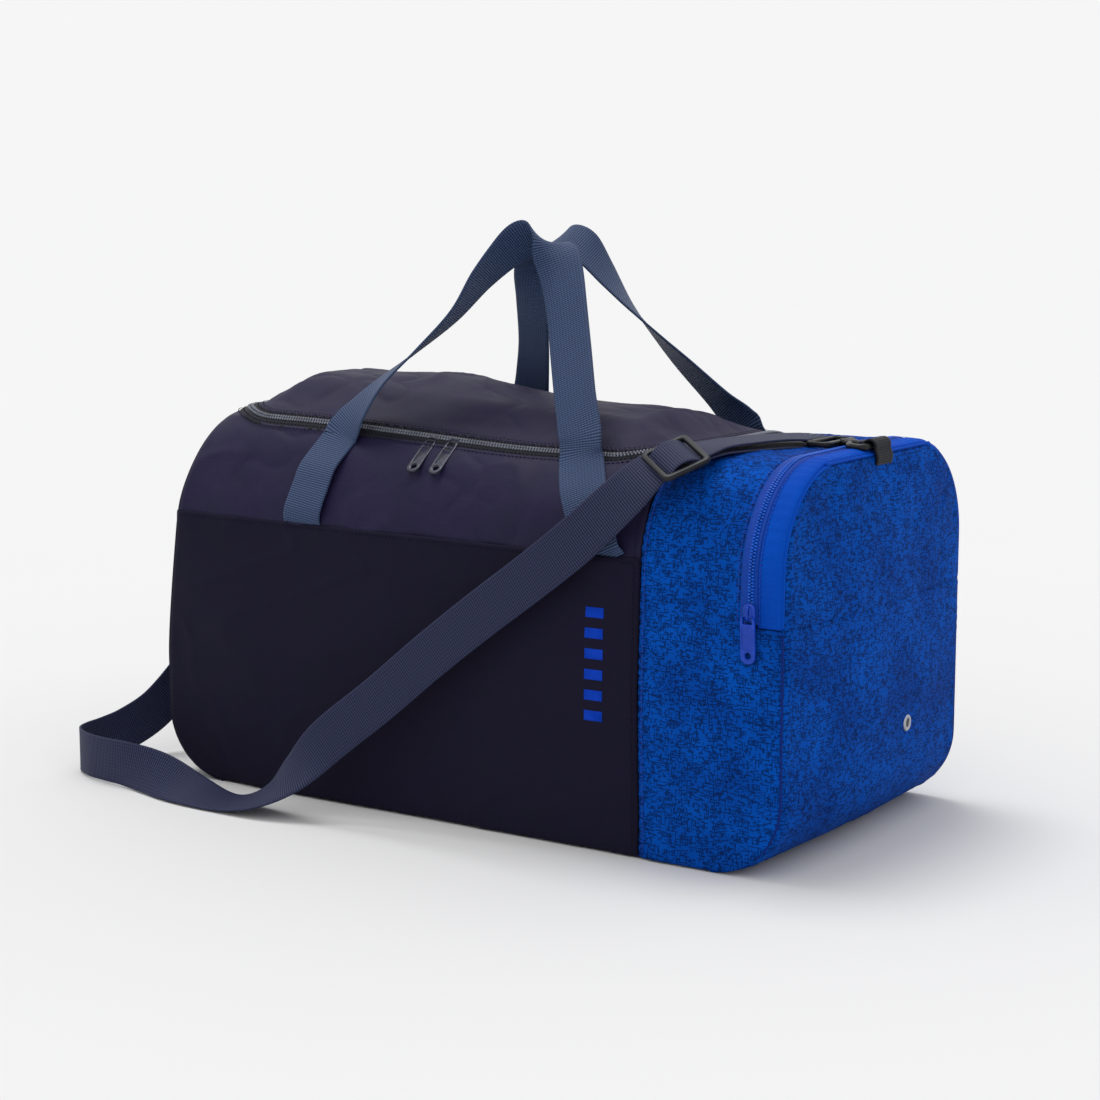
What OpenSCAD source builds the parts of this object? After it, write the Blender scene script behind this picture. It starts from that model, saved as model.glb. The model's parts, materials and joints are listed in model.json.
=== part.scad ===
// Sports duffel bag with an end compartment.
// Frame: +X along the length towards the blue end, -Y is the front, +Z up.
// The origin is on the floor at the middle of the base. Millimetres.

/* [Body] */
// Depth of the bag, front to back
body_w = 300; // [290:2:310]
// Height of the bag at its end seams
body_h = 306; // [300:1:312]
// X of the right end panel's outer face
right_x = 300; // [296:1:304]
// X of the left end panel's outer face low down
left_x = -306; // [-310:1:-300]
// Radius of the top shoulders
shoulder_r = 80; // [76:1:84]
// Radius of the lower corners at the two ends
corner_r = 60; // [50:1:66]
// Thickness of a cloth wall with its lining
wall = 3; // [2:0.5:4]
// X of the seam between the navy and the blue cloth
blue_x = 176; // [170:1:182]

/* [Lid and main zip] */
// X of the lid cloth's left edge
lid_x0 = -262; // [-266:1:-256]
// X of the lid cloth's right edge
lid_x1 = 156; // [150:1:158]
// Y of the lid cloth's front edge
lid_y0 = -96; // [-98:1:-94]
// Y of the lid's sewn back edge, its hinge line
lid_y1 = 100; // [98:1:102]
// Height of the lid's crown
lid_z = 340; // [334:1:344]
// Width of each zip half's tape
tape_w = 7.8; // [7:0.2:8.4]

/* [End compartment] */
// X of the middle of the end zip
end_zip_x = 273; // [270:1:276]
// Height of the flap's hinge line
flap_z = 190.5; // [186:0.5:196]

/* [Webbing] */
// Width of the carry and shoulder webbing
web_w = 38; // [36:1:40]
// Thickness of the webbing
web_t = 2; // [1.6:0.2:2.4]

/* [Hidden] */
$fn = 48;
gap = 0.4;
half_w = body_w / 2;
shoulder_y = half_w - shoulder_r;
shoulder_z = body_h - shoulder_r;
lean_x = left_x + 26;
lean_z = 110;
pocket_z = 229;
shoulder_angle = 65;
coil_h = 1;
dome_half = (lid_y1 - lid_y0) / 2;
dome_y = (lid_y1 + lid_y0) / 2;
dome_edge_z = 301.7;
dome_rise = lid_z - dome_edge_z;
dome_r = (dome_half * dome_half + dome_rise * dome_rise) / (2 * dome_rise);
ridge_x = -60;
ridge_r = 758;
travel_x0 = -150;
travel_x1 = 88;
bead_r = 1.6;
bead_z = 2.6;
foot_rise = 2.2;
foot_bottom = 215;
foot_end = 54;
foot_step = 9;
front_feet = [[-153, 0], [148, -44]];
back_feet = [[-150, 44], [146, -26]];
tab_w = 26;
tab_r = 6;
tab_x = right_x - 4;
tab_z = body_h + 5.6;
left_tab_x = lean_x - 10;
left_tab_z = body_h - 24;
hook_len = 50;
hook_bar_r = 3;
hook_half = 21.5;
pull_rise = coil_h + gap + 4.1;
slider_left_x = -49;
slider_right_x = -27;
end_slider_z = 202;
eyelet_y = 42;
eyelet_z = 87;

// Routes chosen by hand: each row is a point and the direction across the webbing.
front_handle_route = [
    [[-153, -116, 298], [1, 0, 0]],
    [[-153, -112, 306], [1, 0, 0]],
    [[-141, -108, 324], [1, -0.2, 0]],
    [[-116, -100, 345], [0.9, -0.5, 0.1]],
    [[-82, -85, 372], [0.7, -0.8, 0.2]],
    [[-56, -66, 402], [0.5, -0.9, 0.3]],
    [[-38, -52, 432], [0.2, -0.9, 0.4]],
    [[-22, -38, 454], [0.1, -0.7, 0.7]],
    [[-7, -32, 464], [0, -0.6, 0.8]],
    [[8, -31, 463], [-0.3, -0.8, 0.4]],
    [[20, -33, 454], [-0.8, -0.6, 0.1]],
    [[30, -38, 438], [-1, -0.1, 0]],
    [[45, -53, 414], [-1, 0.1, 0]],
    [[64, -75, 379], [-1, 0.1, 0]],
    [[83, -97, 344], [-1, 0.1, 0]],
    [[97, -110, 320], [-1, 0, 0]],
    [[101, -114, 307], [-1, 0, 0]],
    [[101, -116, 298], [-1, 0, 0]]
];
back_handle_route = [
    [[-104, 116, 298], [-1, 0, 0]],
    [[-104, 112, 306], [-1, 0, 0]],
    [[-92, 100, 330], [-1, 0.2, 0]],
    [[-78, 80, 364], [-1, 0.3, 0]],
    [[-66, 61, 402], [-1, 0.2, 0]],
    [[-50, 44, 436], [-0.9, -0.3, -0.2]],
    [[-30, 33, 456], [-0.5, -0.8, -0.4]],
    [[-10, 29, 462], [0, -0.8, -0.6]],
    [[8, 32, 455], [0.1, -0.8, -0.6]],
    [[22, 44, 432], [0.3, -0.8, -0.4]],
    [[36, 60, 405], [0.5, -0.8, -0.1]],
    [[52, 76, 380], [0.7, -0.7, 0]],
    [[70, 90, 356], [0.9, -0.5, 0]],
    [[96, 104, 328], [1, -0.3, 0]],
    [[116, 112, 306], [1, 0, 0]],
    [[118, 116, 298], [1, 0, 0]]
];
strap_route = [
    [[244, 0, 312], [0, -1, 0]],
    [[235, 0, 313], [0, -1, 0]],
    [[221, -14, 314], [0.7, -0.7, 0]],
    [[209, -44, 314], [1, -0.4, 0]],
    [[201, -84, 313], [1, -0.2, 0]],
    [[195, -118, 311], [0.9, -0.3, -0.1]],
    [[184, -143, 302], [0.7, -0.3, -0.4]],
    [[166, -157, 280], [0.6, -0.2, -0.7]],
    [[130, -166, 245], [0.6, 0, -0.8]],
    [[90, -170, 213], [0.6, 0, -0.8]],
    [[45, -174, 179], [0.6, 0, -0.8]],
    [[0, -179, 143], [0.6, 0, -0.8]],
    [[-45, -186, 104], [0.6, 0, -0.8]],
    [[-88, -196, 68], [0.5, 0, -0.9]],
    [[-126, -207, 41], [0.4, 0, -1]],
    [[-165, -215, 26], [0.2, 0, -1]],
    [[-210, -219, 21], [0, 0, -1]],
    [[-260, -217, 20.5], [0, 0, -1]],
    [[-310, -212, 20.5], [0, 0, -1]],
    [[-350, -204, 20.5], [0, 0, -1]],
    [[-371, -192, 20.5], [0, 0, -1]],
    [[-379, -176, 20.5], [0, 0, -1]],
    [[-378, -156, 22], [0, 0, -1]],
    [[-372, -132, 27], [0.1, 0, -1]],
    [[-362, -104, 42], [0.1, 0.2, -1]],
    [[-350, -76, 72], [0.1, 0.4, -0.9]],
    [[-338, -48, 112], [0, 0.6, -0.7]],
    [[-327, -20, 158], [0, 0.8, -0.5]],
    [[-312, -4, 200], [0, 0.9, -0.2]],
    [[-303, 0, 230], [0, 1, 0]]
];

// ---------- outlines ----------

// Cross-section of the body in Y and Z, drawn inset by i
module profile(i) {
    translate([-half_w + i, 0]) square([body_w - 2 * i, shoulder_z]);
    translate([-shoulder_y, 0]) square([2 * shoulder_y, body_h - i]);
    for (s = [-1, 1])
        translate([s * shoulder_y, shoulder_z]) circle(r = shoulder_r - i);
}

// Side outline of the body in X and Z, drawn inset by i
module outline(i, top = body_h) {
    r = corner_r - i;
    lx = left_x + corner_r;
    rx = right_x - corner_r;
    for (cx = [lx, rx]) translate([cx, corner_r]) circle(r = r);
    translate([lx, i]) square([rx - lx, top - i]);
    translate([rx - 1, corner_r]) square([right_x - i - rx + 1, top - corner_r]);
    polygon([[lx + 1, corner_r], [left_x + i, corner_r], [left_x + i, lean_z],
        [lean_x + i, body_h], [lean_x + i, top], [lx + 1, top]]);
}

// Rounded plan of the lid opening, grown by g
module lid_plan(g) {
    r = 40 + g;
    x0 = lid_x0 - g;
    x1 = lid_x1 + g;
    y0 = lid_y0 - g;
    for (cx = [x0 + r, x1 - r]) translate([cx, y0 + r]) circle(r = r);
    translate([x0 + r, y0]) square([x1 - x0 - 2 * r, r]);
    translate([x0, y0 + r]) square([x1 - x0, lid_y1 - y0 - r]);
}

// ---------- solids made from the outlines ----------

module tunnel(i) { translate([-400, 0, 0]) rotate([90, 0, 90]) linear_extrude(800) profile(i); }

module slab(i, top = body_h) {
    rotate([90, 0, 0]) linear_extrude(body_w + 40, center = true) outline(i, top);
}

// Front, top and back skin between two depths below the surface
module side_skin(outer = 0, inner = wall) {
    difference() {
        intersection() { tunnel(outer); slab(0, body_h + 20); }
        tunnel(inner);
    }
}

// Left end, base and right end skin, inside the side skin
module band_skin() {
    intersection() {
        tunnel(wall);
        difference() { slab(0, body_h + 20); slab(wall, body_h + 21); }
    }
}

module block(a, b) { translate(a) cube(b - a); }

module above_plan(g) { translate([0, 0, 240]) linear_extrude(120) lid_plan(g); }

// Places its children on the front shoulder: +Z outwards, +Y up the slope
module on_shoulder(x) {
    translate([x, -shoulder_y, shoulder_z]) rotate([90 - shoulder_angle, 0, 0])
        translate([0, 0, shoulder_r]) children();
}

// ---------- webbing swept as one closed ribbon ----------

function unit(v) = v / norm(v);
function route_dir(r, k) = unit(r[min(k + 1, len(r) - 1)][0] - r[max(k - 1, 0)][0]);
function across(r, k) = let (d = route_dir(r, k), a = r[k][1]) unit(a - (a * d) * d);

// Four corners of the webbing at point k
function ring(r, k, w, t) = let (a = across(r, k), n = cross(route_dir(r, k), a), p = r[k][0])
    [p + a * w / 2 + n * t / 2, p - a * w / 2 + n * t / 2,
     p - a * w / 2 - n * t / 2, p + a * w / 2 - n * t / 2];

module webbing(r, w, t) {
    n = len(r);
    points = [for (k = [0:n - 1]) each ring(r, k, w, t)];
    sides = [for (k = [0:n - 2]) for (j = [0:3])
        let (a = 4 * k + j, b = 4 * k + (j + 1) % 4)
        each [[a, b, b + 4], [a, b + 4, a + 4]]];
    ends = [[3, 2, 1, 0], [4 * n - 4, 4 * n - 3, 4 * n - 2, 4 * n - 1]];
    polyhedron(points = points, faces = concat(sides, ends));
}

// ---------- bag cloth ----------

module base_panel() {
    color("#211d30") intersection() {
        band_skin();
        block([left_x + corner_r, -200, -1], [right_x - corner_r, 200, 30]);
    }
}

module left_end_panel() {
    color("#2a2540") intersection() {
        band_skin();
        block([-400, -200, -1], [left_x + corner_r, 200, 400]);
    }
}

module right_end_panel() {
    color("#0a4fd0") difference() {
        intersection() {
            band_skin();
            block([right_x - corner_r, -200, -1], [400, 200, flap_z - gap]);
        }
        translate([right_x - 20, eyelet_y, eyelet_z]) rotate([0, 90, 0]) cylinder(r = 4.2, h = 40);
    }
}

module front_panel_upper() {
    color("#2a2540") difference() {
        intersection() { side_skin(); block([-400, -200, pocket_z], [blue_x, -60, 400]); }
        above_plan(2 * tape_w + gap);
    }
}

module front_pocket_panel() {
    color("#1c1828") intersection() { side_skin(); block([-400, -200, -1], [blue_x, -60, pocket_z]); }
}

module front_blue_panel() {
    color("#0a4fd0") end_side_panel(-1);
}

// Blue cloth on one side of the end compartment, below and inboard of its zip
module end_side_panel(side) {
    intersection() {
        side_skin();
        union() {
            block([blue_x, side < 0 ? -200 : 70, -1], [end_zip_x - tape_w, side < 0 ? -70 : 200, 400]);
            block([end_zip_x - tape_w, side < 0 ? -200 : 70, -1], [400, side < 0 ? -70 : 200, flap_z - gap]);
        }
    }
}

module top_blue_panel() {
    color("#0a4fd0") intersection() {
        side_skin();
        block([blue_x, -70, 250], [end_zip_x - tape_w, 70, 400]);
    }
}

module back_blue_panel() { color("#0a4fd0") end_side_panel(1); }

module back_panel() {
    color("#2a2540") difference() {
        intersection() { side_skin(); block([-400, 60, -1], [blue_x, 200, 400]); }
        above_plan(2 * tape_w + gap);
        block([lid_x0 - 2 * tape_w - gap, 0, 280], [lid_x1 + 2 * tape_w + gap, lid_y1 + gap, 400]);
    }
}

module top_left_strip() {
    color("#2a2540") difference() {
        intersection() { side_skin(); block([-400, -60, 250], [-200, 60, 400]); }
        above_plan(2 * tape_w + gap);
    }
}

module top_right_strip() {
    color("#2a2540") difference() {
        intersection() { side_skin(); block([100, -60, 250], [blue_x, 60, 400]); }
        above_plan(2 * tape_w + gap);
    }
}

module divider_wall() {
    color("#14141c") intersection() {
        tunnel(wall + 0.2);
        block([blue_x - 4, -200, wall], [blue_x - 2, 200, body_h - wall - 0.2]);
    }
}

// Bead in the seam round the front or back panel: a straight run along the base
module piping(side) {
    bead_y = side * (half_w + bead_r + 0.1);
    translate([(left_x + right_x) / 2, bead_y, bead_z]) rotate([0, 90, 0])
        cylinder(r = bead_r, h = right_x - left_x - 2 * corner_r, center = true, $fn = 24);
    for (end = [0, 1])
        translate([end ? right_x - corner_r : left_x + corner_r, bead_y, corner_r])
            rotate([90, 0, 0]) rotate([0, 0, end ? -90 : 180])
                rotate_extrude(angle = 90) translate([corner_r - bead_z, 0]) circle(r = bead_r, $fn = 24);
}

module front_piping() { color("#1c1828") piping(-1); }

module back_piping() { color("#1c1828") piping(1); }

// ---------- main zip and lid ----------

// Tape and coil between two offsets of the lid plan
module zip_ring(g0, g1, raise) {
    intersection() {
        side_skin(-raise, 1.5);
        difference() {
            above_plan(g1);
            above_plan(g0);
            block([-400, lid_y1, 200], [400, 200, 400]);
        }
        block([-400, -200, 200], [400, lid_y1 - 0.5, 400]);
    }
}

module main_zip_bag_half() {
    color("#23252f") union() {
        zip_ring(tape_w + gap, 2 * tape_w + gap, 0);
        zip_ring(tape_w + gap, tape_w + 2, coil_h);
    }
}

module main_zip_lid_half() {
    color("#23252f") difference() {
        union() {
            zip_ring(0, tape_w, 0);
            zip_ring(tape_w - 1.6, tape_w, coil_h);
        }
        block([travel_x0, -200, 250], [travel_x1, lid_y0 + 0.5, 400]);
    }
}

module dome(i) {
    intersection() {
        translate([-400, dome_y, lid_z - dome_r]) rotate([0, 90, 0]) cylinder(r = dome_r - i, h = 800, $fn = 96);
        translate([ridge_x, 0, lid_z - ridge_r]) rotate([90, 0, 0])
            cylinder(r = ridge_r - i, h = 400, center = true, $fn = 96);
    }
}

module lid_panel() {
    color("#2a2540") intersection() {
        difference() { dome(0); dome(wall); }
        difference() {
            above_plan(0);
            block([-400, lid_y1 - 0.5, 200], [400, 200, 400]);
        }
    }
}

// Cast slider riding on the coil, with the bridge that holds its pull
module main_slider(x) {
    color("#3a3c44") on_shoulder(x) difference() {
        union() {
            translate([-6, -4.6, coil_h + gap]) cube([12, 9.2, 2.6]);
            translate([-4.5, -2, coil_h + gap + 2.6]) cube([9, 4, 3.4]);
        }
        translate([0, 0, pull_rise]) rotate([0, 90, 0]) cylinder(r = 1.3, h = 20, center = true, $fn = 24);
    }
}

// Pull tab drawn hanging along -Y from its pin at the origin, hinge pin along X
module pull_tab(len, w) {
    difference() {
        union() {
            rotate([0, 90, 0]) cylinder(r = 0.9, h = 12, center = true, $fn = 24);
            for (s = [-1, 1]) translate([s * 5.4 - 0.6, -7, -0.9]) cube([1.2, 7, 1.8]);
            translate([-w / 2, -len + w / 2, -0.9]) cube([w, len - w / 2 - 6, 1.8]);
            translate([0, -len + w / 2, -0.9]) cylinder(r = w / 2, h = 1.8);
        }
        translate([0, -len + w / 2, -3]) cylinder(r = 2.4, h = 6);
    }
}

module main_pull(x) {
    color("#3a3c44") on_shoulder(x) translate([0, 0, pull_rise]) rotate([12.5, 0, 0]) pull_tab(36, 10);
}

module main_slider_left() { main_slider(slider_left_x); }

module main_slider_right() { main_slider(slider_right_x); }

module main_pull_left() { main_pull(slider_left_x); }

module main_pull_right() { main_pull(slider_right_x); }

// ---------- end compartment ----------

module end_zip_bag_half() {
    color("#0646c4") union() {
        intersection() {
            side_skin(0, 1.5);
            block([end_zip_x - tape_w, -200, flap_z + 3], [end_zip_x - gap / 2, 200, 400]);
        }
        intersection() {
            side_skin(-coil_h, 0);
            block([end_zip_x - 2, -200, flap_z + 3], [end_zip_x - gap / 2, 200, 400]);
        }
    }
}

module end_zip_flap_half() {
    color("#0646c4") union() {
        intersection() {
            side_skin(0, 1.5);
            block([end_zip_x + gap / 2, -200, flap_z + 3], [end_zip_x + 5, 200, 400]);
        }
        intersection() {
            side_skin(-coil_h, 0);
            block([end_zip_x + gap / 2, -200, flap_z + 3], [end_zip_x + 2, 200, 400]);
        }
    }
}

module end_flap_band() {
    color("#0046d5") intersection() {
        side_skin();
        block([end_zip_x + 5, -200, flap_z + 3], [400, 200, 400]);
    }
}

module end_flap_panel() {
    color("#0a4fd0") intersection() {
        band_skin();
        block([end_zip_x + 5, -200, flap_z + 0.5], [400, 200, body_h - wall]);
    }
}

module end_zip_stop() {
    color("#0646c4") translate([end_zip_x - 4, -half_w - 2.2, flap_z - 3.4]) cube([8, 2, 2.6]);
}

module end_slider() {
    color("#0a50e0") translate([end_zip_x, -half_w - coil_h - gap, end_slider_z]) difference() {
        union() {
            translate([-4.6, -2.6, -7]) cube([9.2, 2.6, 14]);
            translate([-2, -6, -4.5]) cube([4, 3.6, 9]);
        }
        translate([0, -4.1, 0]) rotate([0, 90, 0]) cylinder(r = 1.3, h = 20, center = true, $fn = 24);
    }
}

module end_pull() {
    color("#0a50e0") translate([end_zip_x, -half_w - coil_h - gap - 4.1, end_slider_z])
        rotate([90, 0, 0]) pull_tab(38, 11);
}

module eyelet_ring() {
    color("#9a9ca4") translate([right_x, eyelet_y, eyelet_z]) rotate([0, 90, 0]) difference() {
        union() {
            cylinder(r = 7, h = 1.2);
            translate([0, 0, -wall - 1.2]) cylinder(r = 4.2, h = wall + 1.8);
        }
        translate([0, 0, -10]) cylinder(r = 3.4, h = 20);
    }
}

module eyelet_washer() {
    color("#9a9ca4") translate([right_x - wall - 1, eyelet_y, eyelet_z]) rotate([0, 90, 0]) difference() {
        cylinder(r = 7, h = 1);
        translate([0, 0, -1]) cylinder(r = 4.2, h = 3);
    }
}

module printed_bars() {
    color("#1247c8") for (k = [0:5])
        translate([130, -half_w - 0.4, 184 - 16 * k]) cube([16, 0.4, 8]);
}

// ---------- carry handles ----------

module front_handle() { color("#2b3a4f") webbing(front_handle_route, web_w, web_t); }

module back_handle() { color("#2b3a4f") webbing(back_handle_route, web_w, web_t); }

// Sewn foot of a handle: flat on the panel, then round the shoulder towards the fold, drifting along X
module foot(x, drift) {
    r = shoulder_r + foot_rise;
    route = concat(
        [[[x, -shoulder_y - r, foot_bottom], [1, 0, 0]]],
        [for (a = [0:foot_step:foot_end])
            [[x + drift * a / foot_end, -shoulder_y - r * cos(a), shoulder_z + r * sin(a)], [1, 0, 0]]]
    );
    color("#2b3a4f") webbing(route, web_w, web_t);
}

module front_handle_foot_left() { foot(front_feet[0][0], front_feet[0][1]); }

module front_handle_foot_right() { foot(front_feet[1][0], front_feet[1][1]); }

module back_handle_foot_left() { mirror([0, 1, 0]) foot(back_feet[0][0], back_feet[0][1]); }

module back_handle_foot_right() { mirror([0, 1, 0]) foot(back_feet[1][0], back_feet[1][1]); }

// ---------- shoulder strap ----------

// Webbing tab sewn in the end seam, folded round the hook's bar
module strap_tab_right() {
    color("#20222e") difference() {
        union() {
            block([tab_x, -tab_w / 2, 284], [right_x + 2.4, tab_w / 2, tab_z]);
            translate([tab_x, tab_w / 2, tab_z]) rotate([90, 0, 0]) cylinder(r = tab_r, h = tab_w);
        }
        translate([tab_x, tab_w, tab_z]) rotate([90, 0, 0]) cylinder(r = tab_r - 2.4, h = 2 * tab_w);
        block([tab_x - 20, -tab_w, 270], [right_x + 0.01, tab_w, body_h + 0.2]);
    }
}

module strap_tab_left() {
    color("#20222e") translate([left_tab_x, 0, left_tab_z])
        rotate([90, 0, 0]) linear_extrude(tab_w, center = true) difference() {
            union() {
                circle(r = tab_r);
                rotate(-8) translate([4.1, 0]) square([1.6, 23]);
            }
            circle(r = tab_r - 2.4);
        }
}

// Moulded snap hook drawn along +X: its wide nose bar at the origin, the webbing eye at the far end
module hook() {
    half_eye = web_w / 2 + 1;
    rotate([90, 0, 0]) cylinder(r = hook_bar_r, h = 2 * hook_half, center = true, $fn = 32);
    translate([0, hook_half - 4, -3]) cube([19, 4, 6]);
    translate([18.2, -hook_half, -3]) cube([6, 2 * hook_half, 6]);
    translate([24, 0, 0]) rotate([0, 90, 0]) cylinder(r = 3, h = 6, $fn = 32);
    translate([30, -half_eye - 3, -2.5]) cube([4, 2 * half_eye + 6, 5]);
    for (s = [-1, 1]) translate([30, s * (half_eye + 1.5) - 1.5, -2.5]) cube([hook_len - 30, 3, 5]);
    translate([hook_len - 4, -half_eye - 3, -2.5]) cube([4, 2 * half_eye + 6, 5]);
}

// Spring gate closing one side of the hook's mouth
module hook_gate() {
    translate([hook_bar_r + gap, -hook_half, -2.5]) cube([14.2, 3.2, 5]);
}

module place_right_hook() { translate([tab_x, 0, tab_z]) rotate([0, 0, 180]) children(); }

module hook_right() { color("#17181d") place_right_hook() hook(); }

module hook_right_gate() { color("#3c3e46") place_right_hook() hook_gate(); }

// The left hook hangs down the end panel, leaning a little away from it
module place_left_hook() { translate([left_tab_x, 0, left_tab_z]) rotate([0, 102, 0]) children(); }

module hook_left() { color("#17181d") place_left_hook() hook(); }

module hook_left_gate() { color("#3c3e46") place_left_hook() hook_gate(); }

// Ladder buckle: a frame with a middle bar
module strap_adjuster() {
    color("#33353c") translate([200, -124, 308]) rotate([0, 0, -28]) rotate([12, 0, 0]) difference() {
        translate([-25, -18, 2]) cube([50, 36, 4]);
        for (y = [-14, 2.5]) translate([-20, y, -5]) cube([40, 11.5, 20]);
    }
}

module shoulder_strap() { color("#242a3c") webbing(strap_route, web_w, web_t); }

base_panel();
front_panel_upper();
front_pocket_panel();
front_blue_panel();
back_panel();
back_blue_panel();
left_end_panel();
right_end_panel();
top_blue_panel();
top_left_strip();
top_right_strip();
divider_wall();
main_zip_bag_half();
lid_panel();
main_zip_lid_half();
main_slider_left();
main_slider_right();
main_pull_left();
main_pull_right();
end_zip_bag_half();
end_zip_flap_half();
end_flap_panel();
end_flap_band();
end_slider();
end_pull();
end_zip_stop();
eyelet_ring();
eyelet_washer();
front_piping();
back_piping();
printed_bars();
front_handle();
back_handle();
front_handle_foot_left();
front_handle_foot_right();
back_handle_foot_left();
back_handle_foot_right();
strap_tab_right();
strap_tab_left();
hook_right();
hook_right_gate();
hook_left();
hook_left_gate();
strap_adjuster();
shoulder_strap();
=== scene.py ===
import json
import math

import bmesh
import bpy
import numpy as np
from mathutils import Matrix, Vector

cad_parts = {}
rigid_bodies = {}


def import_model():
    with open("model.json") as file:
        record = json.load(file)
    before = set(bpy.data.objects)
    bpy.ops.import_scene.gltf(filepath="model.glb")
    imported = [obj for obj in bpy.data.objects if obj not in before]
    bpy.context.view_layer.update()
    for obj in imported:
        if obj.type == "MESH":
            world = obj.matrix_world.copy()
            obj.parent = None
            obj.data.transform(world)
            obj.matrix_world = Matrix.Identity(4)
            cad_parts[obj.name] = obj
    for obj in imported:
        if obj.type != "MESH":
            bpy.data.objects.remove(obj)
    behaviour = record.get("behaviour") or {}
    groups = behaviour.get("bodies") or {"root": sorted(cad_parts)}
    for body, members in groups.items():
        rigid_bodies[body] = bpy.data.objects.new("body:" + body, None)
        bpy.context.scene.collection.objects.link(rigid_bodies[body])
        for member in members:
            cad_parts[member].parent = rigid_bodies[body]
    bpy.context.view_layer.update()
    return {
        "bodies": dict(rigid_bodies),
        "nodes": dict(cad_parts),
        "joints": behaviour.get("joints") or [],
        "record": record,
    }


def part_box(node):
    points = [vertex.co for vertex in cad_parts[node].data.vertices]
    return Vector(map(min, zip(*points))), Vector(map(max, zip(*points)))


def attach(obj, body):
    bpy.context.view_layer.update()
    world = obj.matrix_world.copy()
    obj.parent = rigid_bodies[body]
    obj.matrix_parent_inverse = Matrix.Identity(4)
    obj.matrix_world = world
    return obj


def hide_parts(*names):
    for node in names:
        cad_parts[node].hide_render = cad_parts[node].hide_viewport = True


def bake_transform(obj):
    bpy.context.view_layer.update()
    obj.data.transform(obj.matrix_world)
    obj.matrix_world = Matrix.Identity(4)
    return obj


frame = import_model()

MM = 0.001

# ---------------------------------------------------------------- camera

CAMERA_AT = (1.1454, -1.6964, 0.5317)
CAMERA_YAW = math.radians(34.18)
CAMERA_PITCH = math.radians(9.11)
CAMERA_LENS = 80.7


def make_camera():
    camera = bpy.data.objects.new("camera", bpy.data.cameras.new("camera"))
    bpy.context.scene.collection.objects.link(camera)
    camera.data.sensor_width = 36
    camera.data.lens = CAMERA_LENS
    look = Vector((
        -math.sin(CAMERA_YAW) * math.cos(CAMERA_PITCH),
        math.cos(CAMERA_YAW) * math.cos(CAMERA_PITCH),
        -math.sin(CAMERA_PITCH),
    ))
    camera.location = CAMERA_AT
    camera.rotation_euler = look.to_track_quat("-Z", "Y").to_euler()
    bpy.context.scene.camera = camera


make_camera()

# ---------------------------------------------------------------- sizes, from the frame, in mm


def node_box(name):
    low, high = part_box(name)
    return np.array(low) / MM, np.array(high) / MM


front_low, front_high = node_box("front_pocket_panel")
blue_low, blue_high = node_box("front_blue_panel")
end_low, end_high = node_box("right_end_panel")
base_low, base_high = node_box("base_panel")
lid_low, lid_high = node_box("lid_panel")
HALF_W = -front_low[1]
LEFT_X = front_low[0]
RIGHT_X = end_high[0]
SEAM_X = front_high[0]
POCKET_Z = front_high[2]
TOP_Z = blue_high[2]
CORNER = RIGHT_X - base_high[0]
SHOULDER = HALF_W + blue_high[1]
FLAT_Z = TOP_Z - SHOULDER
FLAT_Y = HALF_W - SHOULDER
FLAP_Z = end_high[2]
LEAN_X = node_box("top_left_strip")[0][0]
LEAN_Z = 110.0
ARC = SHOULDER * math.pi / 2
GIRTH = 2 * FLAT_Z + 2 * ARC + 2 * FLAT_Y
ZIP_X0 = lid_low[0] - 8.0
ZIP_X1 = lid_high[0] + 8.0
ZIP_S = FLAT_Z + math.acos((-lid_low[1] + 8.0 - FLAT_Y) / SHOULDER) * SHOULDER
HINGE_S = GIRTH - FLAT_Z - math.acos((lid_high[1] - FLAT_Y) / SHOULDER) * SHOULDER
ZIP_CORNER = 48.0
LID_Z = lid_high[2]
END_ZIP_X = (node_box("end_zip_bag_half")[1][0] + node_box("end_zip_flap_half")[0][0]) / 2
WEB_W = 38.0

# ---------------------------------------------------------------- noise


def lattice(ix, iy, iz, seed):
    n = (ix * 374761393 + iy * 668265263 + iz * 2147483647 + seed * 974634777) & 0xFFFFFFFF
    n = ((n ^ (n >> 13)) * 1274126177) & 0xFFFFFFFF
    return ((n ^ (n >> 16)) & 0xFFFF) / 32767.5 - 1.0


def noise(a, b, c=0.0, seed=0):
    """Smooth noise from -1 to 1 at points a, b, c."""
    a, b, c = np.broadcast_arrays(np.asarray(a, float), np.asarray(b, float), np.asarray(c, float))
    ia, ib, ic = (np.floor(v).astype(np.int64) for v in (a, b, c))
    fa, fb, fc = a - ia, b - ib, c - ic
    wa, wb, wc = (f * f * f * (f * (f * 6 - 15) + 10) for f in (fa, fb, fc))
    total = np.zeros(a.shape)
    for da in (0, 1):
        for db in (0, 1):
            for dc in (0, 1):
                weight = (wa if da else 1 - wa) * (wb if db else 1 - wb) * (wc if dc else 1 - wc)
                total += weight * lattice(ia + da, ib + db, ic + dc, seed)
    return total


def crease(a, b, seed):
    """Sharp-crested folds, 0 to 1."""
    return (1 - np.abs(noise(a, b, seed=seed))) ** 3


def smooth(e0, e1, v):
    t = np.clip((np.asarray(v, float) - e0) / (e1 - e0), 0, 1)
    return t * t * (3 - 2 * t)


# ---------------------------------------------------------------- the bag's surface


def section(s):
    """Y and Z of the cross-section at length s along it, from the front base edge over the top."""
    s = np.asarray(s, float)
    m = np.minimum(s, GIRTH - s)
    a = np.clip((m - FLAT_Z) / SHOULDER, 0, math.pi / 2)
    y = -FLAT_Y - SHOULDER * np.cos(a) + np.clip(m - FLAT_Z - ARC, 0, None)
    z = np.where(m < FLAT_Z, m, FLAT_Z + SHOULDER * np.sin(a))
    return np.where(s > GIRTH / 2, -y, y), z


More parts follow.
